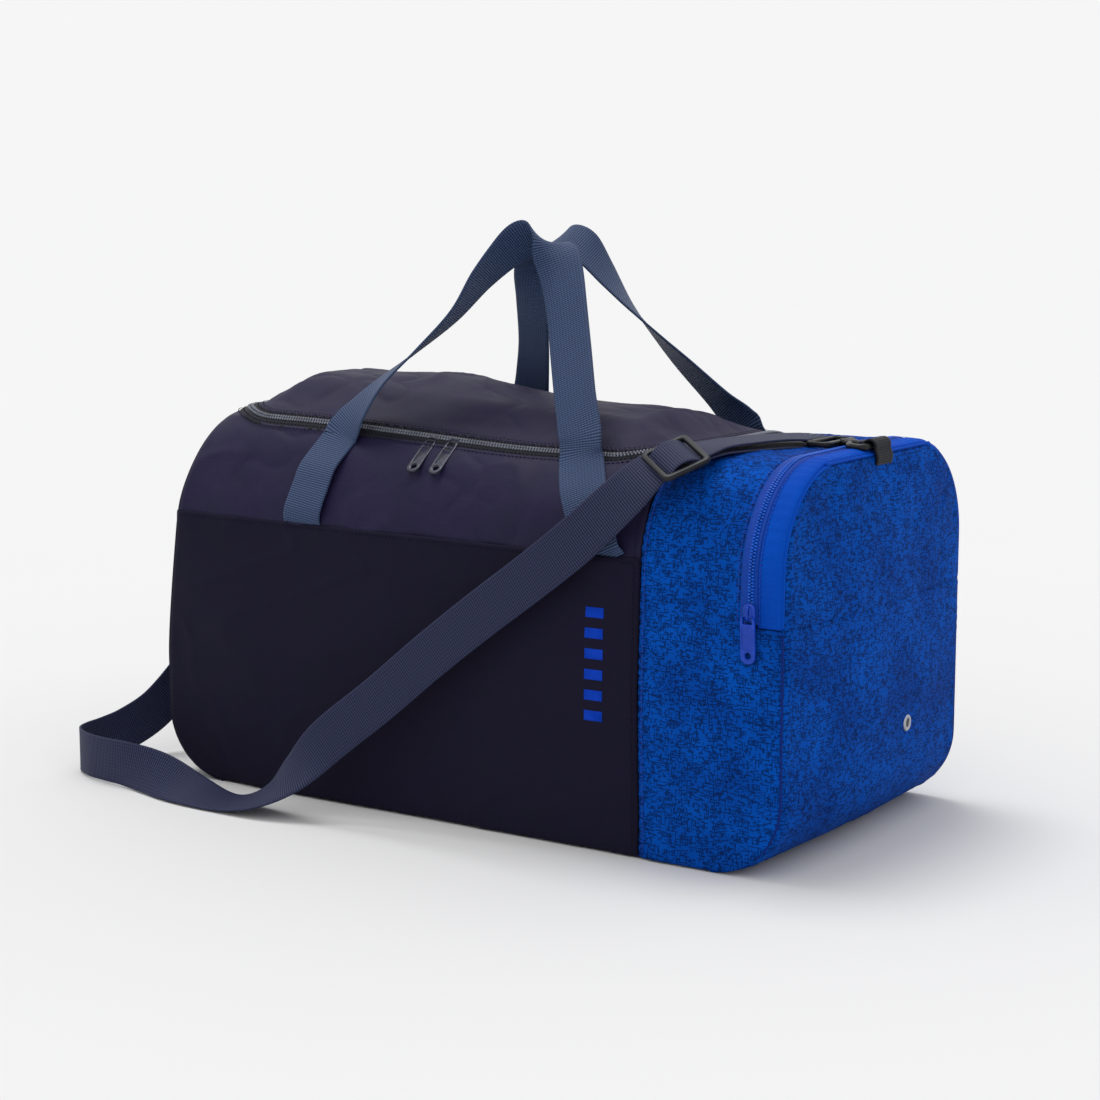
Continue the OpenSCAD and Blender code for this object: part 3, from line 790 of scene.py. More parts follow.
def make_lid():
    u = np.linspace(0, 1, 176)
    spread = 0.5 - 0.5 * np.cos(math.pi * u)
    u = 0.75 * u + 0.25 * spread
    x_line = ZIP_X0 + 8.2 + u * (ZIP_X1 - ZIP_X0 - 16.4)
    s0 = lid_bounds(x_line)
    v = np.linspace(0, 1, 84)[:, None]
    s = s0[None, :] + v * (HINGE_S - 0.5 - s0[None, :])
    x = np.broadcast_to(x_line[None, :], s.shape)
    d = lid_mask(x, s) - 8
    points_height = wrinkles(x, s, 71, 2.0, 0.6) * smooth(0, 18, d) * smooth(0, 18, HINGE_S - s)
    points_height += 0.8 * smooth(4, 0.5, d) + pucker(d, x + s, 72, 10, 0.6)
    return panel("lid_panel", "lid", MAT["canvas"], ["lid_panel"], x, s, points_height,
                 base=lambda a, b, c: lid_surface(a, b, 0))


make_pocket_panel()
make_front_upper()
make_front_blue(-1)
make_front_blue(1)
make_back_panel()
make_right_strip()
make_lid()

# ---------------------------------------------------------------- end panels and base


def end_path(q, side):
    """X and Z at length q from the base seam round the corner and up the end; side 1 is the right."""
    quarter = CORNER * math.pi / 2
    a = np.clip(q / CORNER, 0, math.pi / 2)
    x = CORNER * np.sin(a)
    z = CORNER - CORNER * np.cos(a) + np.clip(q - quarter, 0, None)
    if side > 0:
        return RIGHT_X - CORNER + x, z
    lean = (LEAN_X - LEFT_X) * (np.clip(z - LEAN_Z, 0, None) / (TOP_Z - LEAN_Z)) ** 1.25
    return LEFT_X + CORNER - x + lean, z


def half_width(z):
    """Half of the end panel's width at height z."""
    over = np.clip(z - FLAT_Z, 0, SHOULDER - 0.4)
    return FLAT_Y + np.sqrt(SHOULDER ** 2 - over ** 2) - 1.2


def end_surface(q, t, side, seed):
    """Grid on an end panel: q up the panel, t from -1 to 1 across it."""
    x, z = end_path(q, side)
    w = half_width(z)
    y = t * w
    edge = np.minimum(w - np.abs(y), np.where(z > FLAT_Z, (TOP_Z - z) + 0.6, 1e3))
    roll = 8.0
    inset = roll - np.sqrt(np.clip(roll ** 2 - np.clip(roll - edge, 0, roll) ** 2, 0, None))
    across = 1 - (np.clip(np.abs(y) / HALF_W, 0, 1)) ** 2.2
    up = np.sin(math.pi * np.clip(z / (TOP_Z + 6), 0, 1)) ** 0.8
    out = 9.5 * across * up - 0.75 * inset
    coarse = 0.8 + 0.9 * smooth(FLAP_Z - 30, TOP_Z - 20, z)
    out = out + (wrinkles(y + 400, q, seed, coarse, 0.4)) * smooth(0, 14, edge)
    out = out + pucker(edge, z + y, seed + 5, 15, 0.9) * smooth(0, 5, edge)
    a = np.clip(q / CORNER, 0, math.pi / 2)
    nx, nz = np.sin(a), -np.cos(a)
    floor_guard = smooth(0, 30, q)
    out = out * floor_guard
    return np.stack([x + side * nx * out, y, z + nz * out * (q < CORNER * math.pi / 2)], -1), y


def make_end(name, q0, q1, side, seed, material, body, nodes, tuck=0.0):
    q = np.linspace(q0, q1, int((q1 - q0) / STEP) + 2)[:, None]
    t = np.sin(np.linspace(-1, 1, 116) * math.pi / 2 * 0.86) / math.sin(math.pi / 2 * 0.86)
    q, t = np.broadcast_arrays(q, t[None, :])
    points, y = end_surface(q, t, side, seed)
    points[..., 0] -= side * tuck * smooth(q1 - 3.4, q1 - 2.0, q)
    obj = cloth_sheet(name, points, np.stack([y + 500, q], -1), 1.3, -side)
    return finish_piece(obj, body, material, nodes)


QUARTER = CORNER * math.pi / 2
Q_FLAP = QUARTER + FLAP_Z - CORNER
Q_TOP = QUARTER + TOP_Z - 1.0 - CORNER
make_end("right_end_panel", 0, Q_FLAP + 2.6, 1, 81, MAT["melange"], "bag",
         ["right_end_panel"], 1.7)
make_end("end_flap_panel", Q_FLAP + 0.2, Q_TOP - 0.4, 1, 81, MAT["melange"], "end_flap",
         ["end_flap_panel"])
make_end("left_end_panel", 0, Q_TOP, -1, 91, MAT["canvas"], "bag", ["left_end_panel"])


def make_base():
    x = np.linspace(base_low[0], base_high[0], 120)[None, :]
    y = np.linspace(-HALF_W + 3, HALF_W - 3, 70)[:, None]
    x, y = np.broadcast_arrays(x, y)
    z = 1.0 + 0.5 * noise(x / 60, y / 60, seed=99)
    obj = cloth_sheet("base_panel", np.stack([x, y, z], -1), np.stack([x, y], -1), 1.2, 1)
    finish_piece(obj, "bag", MAT["pocket"], ["base_panel"])


make_base()


def make_left_rim():
    """Narrow strip of cloth between the left end panel and the zip, over the top."""
    s = np.linspace(ZIP_S + 26, GIRTH - ZIP_S - 26, 90)
    x0 = left_edge(section(s)[1]) + 0.6
    x = columns(x0, np.full_like(s, ZIP_X0 - 7.4), s, 0.8)
    ss = np.broadcast_to(s[:, None], x.shape)
    height = 0.5 * np.sin(np.pi * np.linspace(0, 1, x.shape[1]))[None, :] + 0.0 * ss
    panel("top_left_strip", "bag", MAT["canvas"], ["top_left_strip"], x, ss, height)


make_left_rim()


def make_divider():
    y = np.linspace(-HALF_W + 6, HALF_W - 6, 60)[None, :]
    z = np.linspace(4, TOP_Z - 5, 60)[:, None]
    y, z = np.broadcast_arrays(y, z)
    w = half_width(z) - 3
    y = y / (HALF_W - 6) * w
    x = SEAM_X - 3 + 1.6 * noise(y / 60, z / 60, seed=7)
    obj = cloth_sheet("divider_wall", np.stack([x, y, z], -1), np.stack([y, z], -1), 1.2, 1)
    finish_piece(obj, "bag", MAT["lining"], ["divider_wall"])


make_divider()

# ---------------------------------------------------------------- zips, welts and stitches


class Parts:
    """Gathers small shapes into one mesh."""

    def __init__(self):
        self.verts = []
        self.faces = []
        self.count = 0

    def add(self, verts, faces, matrix=None):
        verts = np.asarray(verts, float)
        if matrix is not None:
            m = np.array(matrix)
            verts = verts @ m[:3, :3].T + m[:3, 3]
        self.verts.append(verts)
        self.faces += [[int(i) + self.count for i in f] for f in faces]
        self.count += len(verts)

    def build(self, name, smooth_shade=True):
        return mesh_object(name, np.concatenate(self.verts), self.faces, None, smooth_shade)


def zip_line(step):
    """Middle line of the main zip in the cloth's plane, with its outward normal, right end first."""
    r = ZIP_CORNER
    turn = np.linspace(0, math.pi / 2, 40)
    right = np.stack([np.full(60, ZIP_X1), np.linspace(HINGE_S - 1, ZIP_S + r, 60)], -1)
    corner_r = np.stack([ZIP_X1 - r + r * np.cos(turn), ZIP_S + r - r * np.sin(turn)], -1)
    front = np.stack([np.linspace(ZIP_X1 - r, ZIP_X0 + r, 120), np.full(120, ZIP_S)], -1)
    corner_l = np.stack([ZIP_X0 + r - r * np.sin(turn), ZIP_S + r - r * np.cos(turn)], -1)
    left = np.stack([np.full(60, ZIP_X0), np.linspace(ZIP_S + r, HINGE_S - 1, 60)], -1)
    path = np.concatenate([right, corner_r[1:], front[1:], corner_l[1:], left[1:]])
    along = np.concatenate([[0], np.cumsum(np.linalg.norm(np.diff(path, axis=0), axis=1))])
    t = np.linspace(0, along[-1], int(along[-1] / step) + 1)
    xs = np.stack([np.interp(t, along, path[:, k]) for k in (0, 1)], -1)
    d = unit(np.gradient(xs, axis=0))
    return xs, np.stack([-d[:, 1], d[:, 0]], -1), t


def end_zip_line(step):
    """Middle line of the end zip, from the front end over the top to the back, with its outward normal."""
    s0, s1 = FLAP_Z + 3.2, GIRTH - FLAP_Z - 3.2
    s = np.linspace(s0, s1, int((s1 - s0) / step) + 1)
    xs = np.stack([np.full_like(s, END_ZIP_X), s], -1)
    return xs, np.stack([np.ones_like(s), np.zeros_like(s)], -1), s - s0


def on_line(line, offset, h, lid=False):
    xs, normal, t = line
    q = xs + normal * np.asarray(offset)[..., None] if np.ndim(offset) else xs + normal * offset
    p = surface(q[..., 0], q[..., 1], h)
    if lid:
        p = p.copy()
        p[..., 2] += lid_height(q[..., 0], q[..., 1])
    return p


def make_tape(name, body, line, offsets, heights, material, slot, node, lid=False):
    rows = [on_line(line, o, h, lid) for o, h in zip(offsets, heights)]
    points = np.stack(rows, 1)
    t = line[2]
    uv = np.stack(np.broadcast_arrays(t[:, None], np.asarray(offsets)[None, :]), -1)
    facing = np.sign(np.nansum(grid_normals(points)[..., 2]))
    obj = cloth_sheet(name, points, uv, 0.7, -facing)
    return finish_piece(obj, body, material, [node] if node else ())


TOOTH = np.array([
    [-0.8, -1.3, 0], [0.8, -1.3, 0], [0.8, 1.3, 0], [-0.8, 1.3, 0],
    [-0.75, -1.2, 0.7], [0.75, -1.2, 0.7], [0.75, 1.2, 0.7], [-0.75, 1.2, 0.7],
    [-0.4, -0.8, 1.2], [0.4, -0.8, 1.2], [0.4, 0.8, 1.2], [-0.4, 0.8, 1.2],
])
TOOTH_FACES = [[3, 2, 1, 0], [8, 9, 10, 11]] + [
    [a + k, a + (k + 1) % 4, a + 4 + (k + 1) % 4, a + 4 + k] for a in (0, 4) for k in range(4)]


def make_teeth(name, body, line_of, pitch, offset, shift, height, material, lid=False, size=1.0):
    line = line_of(pitch)
    xs, normal, t = line
    mid = on_line(line, offset, height, lid)
    out = on_line(line, offset + 0.5, height, lid) - on_line(line, offset - 0.5, height, lid)
    along = unit(np.gradient(mid, axis=0))
    out = unit(out - (out * along).sum(-1, keepdims=True) * along)
    up = np.cross(along, out)
    up *= np.sign(up[:, 2:3] + 1e-6) if abs(up[:, 2].mean()) > 0.2 else 1
    parts = Parts()
    for k in range(1, len(t) - 1):
        m = np.eye(4)
        m[:3, 0], m[:3, 1], m[:3, 2] = along[k], out[k], up[k]
        if np.linalg.det(m[:3, :3]) < 0:
            m[:3, 0] = -m[:3, 0]
        m[:3, 3] = mid[k] + along[k] * shift * pitch
        parts.add(TOOTH * size, TOOTH_FACES, m)
    obj = parts.build(name, False)
    finish_piece(obj, body, material)


BAG_TAPE = ([0.5, 1.2, 3.0, 5.0, 7.0, 9.5], [0.9, 1.0, 0.8, 0.7, 0.7, 0.4])
LID_TAPE = ([-9.5, -7.0, -5.0, -3.0, -1.2, -0.5], [0.4, 0.7, 0.7, 0.8, 1.0, 0.9])
main_line = zip_line(3.0)
make_tape("main_zip_tape_bag", "bag", main_line, *BAG_TAPE, MAT["tape"], "zip_grey", "main_zip_bag_half")
make_tape("main_zip_tape_lid", "lid", main_line, *LID_TAPE, MAT["tape"], "zip_grey",
          "main_zip_lid_half", True)
make_teeth("main_zip_teeth_bag", "bag", zip_line, 2.7, 1.5, 0.25, 1.1, MAT["coil"])
make_teeth("main_zip_teeth_lid", "lid", zip_line, 2.7, -1.5, -0.25, 1.1, MAT["coil"], True)

end_line = end_zip_line(3.0)
END_BAG_TAPE = ([-8.6, -6.0, -4.0, -2.0, -0.9, -0.4], [0.4, 0.7, 0.7, 0.8, 1.0, 0.9])
END_FLAP_TAPE = ([0.4, 0.9, 2.0, 3.5, 5.5], [0.9, 1.0, 0.8, 0.7, 0.5])
make_tape("end_zip_tape_bag", "bag", end_line, *END_BAG_TAPE, MAT["tape_blue"], "zip_blue",
          "end_zip_bag_half")
make_tape("end_zip_tape_flap", "end_flap", end_line, *END_FLAP_TAPE, MAT["tape_blue"], "zip_blue",
          "end_zip_flap_half")
make_teeth("end_zip_teeth_bag", "bag", end_zip_line, 2.4, -1.25, 0.25, 1.0, MAT["coil_blue"],
           size=0.85)
make_teeth("end_zip_teeth_flap", "end_flap", end_zip_line, 2.4, 1.25, -0.25, 1.0, MAT["coil_blue"],
           size=0.85)


def tube(name, body, points, radius, material, nodes=(), step=3.0):
    line, along = resample(points, step=step)
    tangent = unit(np.gradient(line, axis=0))
    guess = np.where(np.abs(tangent[:, 2:3]) > 0.8, [[1.0, 0, 0]], [[0, 0, 1.0]])
    side = unit(np.cross(tangent, guess))
    for k in range(1, len(side)):
        v = side[k - 1] - tangent[k] * (side[k - 1] @ tangent[k])
        side[k] = v / np.linalg.norm(v)
    obj = sweep(name, line, side, round_profile(radius))
    return finish_piece(obj, body, material, nodes)


def stitches(name, body, points, material, length=2.6, gap=1.3, width=0.45, lift=0.15):
    """A row of sewn stitches along a line of points with their outward normals."""
    line, along = resample(points, step=(length + gap))
    parts = Parts()
    for k in range(len(line) - 1):
        a, b = line[k, :3], line[k + 1, :3]
        n = unit(line[k, 3:6])
        d = (b - a) * (length / (length + gap))
        side = unit(np.cross(d, n)) * width
        a = a + n * lift
        top = n * 0.32
        verts = [a - side, a + side, a + d + side, a + d - side,
                 a + d * 0.2 + top + side * 0.5, a + d * 0.8 + top + side * 0.5,
                 a + d * 0.8 + top - side * 0.5, a + d * 0.2 + top - side * 0.5]
        faces = [[0, 1, 4, 7], [1, 2, 5, 4], [2, 3, 6, 5], [3, 0, 7, 6], [4, 5, 6, 7], [3, 2, 1, 0]]
        parts.add(verts, faces)
    obj = parts.build(name)
    return finish_piece(obj, body, material)


def with_normals(points, outward):
    return np.concatenate([points, np.broadcast_to(outward, points.shape)], 1)


def section_normal(s):
    m = np.minimum(s, GIRTH - s)
    a = np.clip((m - FLAT_Z) / SHOULDER, 0, math.pi / 2)
    return np.stack([np.zeros_like(a), -np.cos(a) * np.where(s > GIRTH / 2, -1, 1), np.sin(a)], -1)


def stitch_offset(name, body, line_of, offset, h, material, lid=False, trim=0):
    line = line_of(4.0)
    p = on_line(line, offset, h, lid)
    q = line[0] + line[1] * offset
    n = section_normal(q[:, 1])
    rows = np.concatenate([p, n], 1)
    rows = rows[trim:len(rows) - trim] if trim else rows
    stitches(name, body, rows, material)


stitch_offset("stitch_zip_bag", "bag", zip_line, 10.6, 1.1, MAT["thread"])
stitch_offset("stitch_zip_lid", "lid", zip_line, -10.6, 1.1, MAT["thread"], True)
stitch_offset("stitch_tape_bag", "bag", zip_line, 6.2, 0.8, MAT["thread"])
stitch_offset("stitch_tape_lid", "lid", zip_line, -6.2, 0.8, MAT["thread"], True)
stitch_offset("stitch_end_flap", "end_flap", end_zip_line, 7.6, 1.6, MAT["thread_blue"])
stitch_offset("stitch_end_bag", "bag", end_zip_line, -10.5, 1.0, MAT["thread_blue"])

# ---------------------------------------------------------------- end band and pipings


def make_band():
    s = np.linspace(FLAP_Z + 0.7, GIRTH - FLAP_Z - 0.7, 190)
    u = np.linspace(0, 1, 13)[None, :]
    x = END_ZIP_X + 5.0 + u * (RIGHT_X - 2.0 - END_ZIP_X - 5.0) + 0 * s[:, None]
    ss = np.broadcast_to(s[:, None], x.shape)
    ends = smooth(0, 34, np.minimum(ss - FLAP_Z, GIRTH - FLAP_Z - ss))
    height = (0.3 + 1.3 * ends) * np.sin(np.pi * u) ** 0.6
    height = height + 0.5 * noise(x / 16, ss / 22, seed=63) * np.sin(np.pi * u)
    height = height + 0.35 * np.sin(ss * 2 * math.pi / 9 + 2 * noise(ss / 20, 0, seed=64)) * (1 - u) * u * 4
    panel("end_flap_band", "end_flap", MAT["plain"], ["end_flap_band"], x, ss, height)


make_band()


def corner_route(side, front):
    """Line of the seam between the front or back skin and one end panel, from the base up."""
    y = -HALF_W + 2.4 if front else HALF_W - 2.4
    a = np.linspace(0, math.pi / 2, 14)
    cx = RIGHT_X - CORNER if side > 0 else LEFT_X + CORNER
    r = CORNER - 2.2
    return np.stack([cx + side * r * np.sin(a), np.full(14, y), CORNER - r * np.cos(a)], -1)


def make_pipings():
    for front, name in ((True, "front_piping"), (False, "back_piping")):
        y = -HALF_W + 2.4 if front else HALF_W - 2.4
        left = corner_route(-1, front)[::-1]
        right = corner_route(1, front)
        z_up = np.linspace(CORNER + 12, FLAP_Z - 4, 8)
        up = np.stack([np.full(8, RIGHT_X - 2.2), np.full(8, y), z_up], -1)
        z_left = np.linspace(FLAT_Z - 10, CORNER + 12, 9)
        down = np.stack([left_edge(z_left) + 2.2, np.full(9, y), z_left], -1)
        s_top = np.linspace(GIRTH / 2 - 40, FLAT_Z, 14)
        yy, zz = section(s_top)
        flip = 0.985 if front else -0.985
        x_over = left_edge(zz)
        over = np.stack([x_over + 2.2, yy * flip, zz - 1.6 + top_rise(x_over, s_top)], -1)
        x_low = np.linspace(LEFT_X + CORNER + 20, RIGHT_X - CORNER - 20, 20)
        bottom = np.stack([x_low, np.full(20, y), np.full(20, 2.6)], -1)
        middle = np.array([[SEAM_X, y, 2.6]])
        dark = np.concatenate([over, down, left, bottom[bottom[:, 0] < SEAM_X - 4], middle])
        blue = np.concatenate([middle, bottom[bottom[:, 0] > SEAM_X + 4], right, up])
        tube(name, "bag", dark, 1.4, MAT["pocket"], [name], step=4.0)
        tube(name + "_blue", "bag", blue, 1.2, MAT["piping"], step=4.0)


make_pipings()


def make_flap_welt():
    """Rolled seam between the plain band and the domed end panel, on the flap."""
    curve = FLAT_Z + SHOULDER * np.sin(np.linspace(0.1, 1.5, 16))
    z = np.concatenate([np.linspace(FLAP_Z + 2, FLAT_Z, 6), curve])
    w = half_width(z) - 1.1
    x = RIGHT_X - 2.2 + 0.8 * smooth(TOP_Z - 12, TOP_Z, z)
    front = np.stack([x, -w, z - 0.2], -1)
    back = np.stack([x, w, z - 0.2], -1)[::-1]
    route = np.concatenate([front, back])
    tube("end_flap_welt", "end_flap", route, 1.2, MAT["plain"], step=3.0)


make_flap_welt()


def make_seam_stitches():
    x = np.linspace(float(left_edge(POCKET_Z)) + 6, SEAM_X - 4, 90)
    s = np.full_like(x, POCKET_Z - 0.5)
    p = surface(x, s, 1.9)
    stitches("stitch_pocket", "bag", with_normals(p, np.array([0, -1.0, 0])), MAT["thread"])
    s = np.concatenate([np.linspace(6, ZIP_S - 16, 60)])
    for name, off, mat in (("stitch_seam_navy", -5.0, "thread"), ("stitch_seam_blue", 5.0, "thread_blue")):
        p = surface(np.full_like(s, SEAM_X + off), s, 0.9)
        stitches(name, "bag", np.concatenate([p, section_normal(s)], 1), MAT[mat])


make_seam_stitches()

# ---------------------------------------------------------------- carry handles

FRONT_HANDLE = [
    ((-140, -116, 299), (1, -0.1, -0.1)),
    ((-135, -112, 309), (0.97, -0.2, -0.1)),
    ((-126, -108, 323), (0.9, -0.4, 0)),
    ((-108, -99, 346), (0.8, -0.65, 0.1)),
    ((-82, -85, 372), (0.7, -0.8, 0.2)),
    ((-56, -66, 402), (0.5, -0.9, 0.3)),
    ((-38, -52, 432), (0.2, -0.9, 0.4)),
    ((-22, -38, 454), (0.1, -0.7, 0.7)),
    ((-7, -32, 464), (0, -0.6, 0.8)),
    ((8, -31, 463), (-0.3, -0.8, 0.4)),
    ((20, -33, 454), (-0.8, -0.6, 0.1)),
    ((30, -38, 438), (-1, -0.1, 0)),
    ((45, -53, 414), (-1, 0.1, 0)),
    ((64, -75, 379), (-1, 0.1, 0)),
    ((83, -97, 344), (-1, 0.1, 0)),
    ((96, -110, 318), (-1, 0, 0)),
    ((101, -116, 299), (-1, 0, 0)),
]
BACK_HANDLE = [
    ((-104, 116, 298), (-1, 0, 0)),
    ((-103, 111, 308), (-1, 0, 0)),
    ((-92, 98, 332), (-1, 0.2, 0)),
    ((-78, 80, 364), (-1, 0.3, 0)),
    ((-66, 61, 402), (-1, 0.2, 0)),
    ((-50, 44, 436), (-0.9, -0.3, -0.2)),
    ((-30, 33, 456), (-0.5, -0.8, -0.4)),
    ((-10, 29, 462), (0, -0.8, -0.6)),
    ((8, 32, 455), (0.1, -0.8, -0.6)),
    ((22, 44, 432), (0.3, -0.8, -0.4)),
    ((36, 60, 405), (0.5, -0.8, -0.1)),
    ((52, 76, 380), (0.7, -0.7, 0)),
    ((70, 90, 356), (0.9, -0.5, 0)),
    ((96, 105, 326), (1, -0.3, 0)),
    ((112, 112, 308), (1, 0, 0)),
    ((118, 116, 298), (1, 0, 0)),
]
FOOT_ANGLES = (4, 14, 26, 37)


def foot_rows(x, drift, back, up):
    """Webbing rows of one foot from its sewn end up to the fold, outside the cloth."""
    if back:
        lifts = [(POCKET_Z - 6.0, 1.8), (POCKET_Z + 4.0, 2.8)]
    else:
        lifts = [(POCKET_Z - 1.0, -2.2), (POCKET_Z + 3.0, -0.3), (POCKET_Z + 8.0, 2.6)]
    lifts += [(FLAT_Z + math.radians(a) * SHOULDER, 3.9) for a in FOOT_ANGLES[1:]]
    rows = []
    for s, lift in lifts:
        share = max(0.0, (s - FLAT_Z) / SHOULDER / math.radians(54))
        px = x + drift * share
        p = surface(px, GIRTH - s if back else s, lift)
        rows.append((tuple(p), (up, 0, 0)))
    return rows


def make_handle(name, route, left, right, back):
    sign = -1 if back else 1
    start = foot_rows(*left, back, sign)
    end = foot_rows(*right, back, -sign)[::-1]
    line, across, along = frame_lines(start + route + end)
    obj = sweep(name, line, across, web_profile(WEB_W, 1.9))
    obj.data.materials.append(MAT["web"])
    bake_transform(obj)
    return obj


front = make_handle("front_handle", FRONT_HANDLE, (-153, 12), (148, -44), False)
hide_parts("front_handle", "front_handle_foot_left", "front_handle_foot_right")
back = make_handle("back_handle", BACK_HANDLE, (-150, 44), (146, -26), True)
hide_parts("back_handle", "back_handle_foot_left", "back_handle_foot_right")


def make_foot_stitches():
    """Box of stitches that holds each back foot to the panel."""
    for name, x in (("left", -150.0), ("right", 146.0)):
        rows = []
        for dx, ds in ((-15, -3), (15, -3), (15, 10), (-15, 10), (-15, -3), (15, 10)):
            s = np.array(GIRTH - POCKET_Z - ds)
            rows.append(np.concatenate([surface(x + dx, s, 3.6), section_normal(s)]))
        dense = []
        for a, b in zip(rows[:-1], rows[1:]):
            dense += [a + (b - a) * k / 8 for k in range(8)]
        stitches("stitch_back_foot_" + name, "bag", np.array(dense + [rows[-1]]), MAT["thread"])


make_foot_stitches()

# ---------------------------------------------------------------- hardware


def plate(outline, holes, thick, bevel=0.35):
    """A flat plate with rounded edges, in its own XY plane, centred on z = 0."""
    curve = bpy.data.curves.new("plate", "CURVE")
    curve.dimensions = "2D"
    curve.fill_mode = "BOTH"
    curve.extrude = thick / 2 - bevel
    curve.bevel_depth = bevel
    curve.bevel_resolution = 2
    curve.offset = -bevel
    for loop in [outline] + list(holes):
        spline = curve.splines.new("POLY")
        spline.points.add(len(loop) - 1)
        for point, (x, y) in zip(spline.points, loop):
            point.co = (x, y, 0, 1)
        spline.use_cyclic_u = True
    holder = bpy.data.objects.new("plate", curve)
    mesh = bpy.data.meshes.new_from_object(holder)
    bm = bmesh.new()
    bm.from_mesh(mesh)
    bmesh.ops.remove_doubles(bm, verts=bm.verts, dist=1e-4)
    bmesh.ops.recalc_face_normals(bm, faces=bm.faces)
    bm.to_mesh(mesh)
    bm.free()
    verts = np.array([v.co[:] for v in mesh.vertices])
    faces = [list(f.vertices) for f in mesh.polygons]
    bpy.data.objects.remove(holder)
    bpy.data.curves.remove(curve)
    bpy.data.meshes.remove(mesh)
    return verts, faces


def circle(cx, cy, r, n=24):
    a = np.linspace(0, 2 * math.pi, n, endpoint=False)
    return [(cx + r * math.cos(t), cy + r * math.sin(t)) for t in a]


def round_box(x0, y0, x1, y1, r, n=6):
    out = []
    corners = ((x1 - r, y1 - r, 0), (x0 + r, y1 - r, 90), (x0 + r, y0 + r, 180), (x1 - r, y0 + r, 270))
    for cx, cy, t0 in corners:
        for k in range(n + 1):
            t = math.radians(t0 + 90 * k / n)
            out.append((cx + r * math.cos(t), cy + r * math.sin(t)))
    return out


def blob(size, power=0.7, n=20, m=12):
    """A rounded block: a superellipsoid of the given half sizes."""
    u = np.linspace(-math.pi / 2, math.pi / 2, m + 1)[1:-1]
    v = np.linspace(0, 2 * math.pi, n, endpoint=False)
    uu, vv = np.meshgrid(u, v, indexing="ij")

    def p(w):
        return np.sign(w) * np.abs(w) ** power
    ring = np.stack([p(np.cos(uu)) * p(np.cos(vv)), p(np.cos(uu)) * p(np.sin(vv)), p(np.sin(uu))], -1)
    verts = np.concatenate([ring.reshape(-1, 3), [[0, 0, -1], [0, 0, 1]]]) * np.array(size)
    index = np.arange((m - 1) * n).reshape(m - 1, n)
    a, b = index[:-1], index[1:]
    quads = np.stack([a, np.roll(a, -1, 1), np.roll(b, -1, 1), b], -1).reshape(-1, 4)
    low, high = (m - 1) * n, (m - 1) * n + 1
    caps = [[low, index[0, (k + 1) % n], index[0, k]] for k in range(n)]
    caps += [[high, index[-1, k], index[-1, (k + 1) % n]] for k in range(n)]
    return verts, quads.tolist() + caps


def bar(points, r, n=10):
    """A round bar along a few points."""
    line, along = resample(points, step=max(0.6, r * 0.6))
    tangent = unit(np.gradient(line, axis=0))
    side = unit(np.cross(tangent, np.array([0.13, 0.31, 0.94])))
    for k in range(1, len(side)):
        v = side[k - 1] - tangent[k] * (side[k - 1] @ tangent[k])
        side[k] = v / np.linalg.norm(v)
    up = np.cross(tangent, side)
    ring = round_profile(r, n)
    rings = line[:, None] + side[:, None] * ring[None, :, :1] + up[:, None] * ring[None, :, 1:]
    verts = rings.reshape(-1, 3)
    index = np.arange(len(line) * n).reshape(-1, n)
    a, b = index[:-1], index[1:]
    quads = np.stack([a, np.roll(a, -1, 1), np.roll(b, -1, 1), b], -1).reshape(-1, 4).tolist()
    return verts, quads + [index[0, ::-1].tolist(), index[-1].tolist()]


def place(x, y, z, rx=0, ry=0, rz=0, before=None):
    m = Matrix.Translation((x, y, z))
    m = m @ Matrix.Rotation(math.radians(rz), 4, "Z") @ Matrix.Rotation(math.radians(ry), 4, "Y")
    m = m @ Matrix.Rotation(math.radians(rx), 4, "X")
    return m if before is None else before @ m


SHOULDER_ANGLE = 65
PULL_RISE = 5.5


def on_shoulder(x):
    return place(x, -FLAT_Y, FLAT_Z, 90 - SHOULDER_ANGLE) @ Matrix.Translation((0, 0, SHOULDER + 1.2))


def slider_parts(parts, m):
    """A cast zip slider lying on the coil, its nose along +X, with a raised bridge for the pull."""
    parts.add(*blob((6.6, 5.0, 1.7), 0.55), m @ Matrix.Translation((0, 0, 2.5)))
    parts.add(*blob((4.6, 3.0, 1.5), 0.7), m @ Matrix.Translation((0.4, 0, 3.9)))
    loop = [(-4.4, 0, 3.4), (-3.6, 0, 5.8), (0, 0, 6.9), (3.6, 0, 5.8), (4.4, 0, 3.4)]
    parts.add(*bar(loop, 1.15), m)


def pull_parts(parts, m, length, width):
    """A pull tab hanging along -Y from its pin, with a raised rim and a hole at its tip."""
    half = width / 2
    hole_y = -length + half
    outline = round_box(-half, -length, half, -1.2, half - 0.3, 8)
    slot_hole = round_box(-half + 2.0, -8.2, half - 2.0, -2.6, 1.2, 4)
    parts.add(*plate(outline, [circle(0, hole_y, 2.5), slot_hole], 1.9, 0.4), m)
    rim_in = round_box(-half + 1.5, hole_y + 4.2, half - 1.5, -9.6, 1.6, 5)
    parts.add(*plate(outline, [circle(0, hole_y, 3.1), rim_in, slot_hole], 0.9, 0.3),
              m @ Matrix.Translation((0, 0, 1.0)))


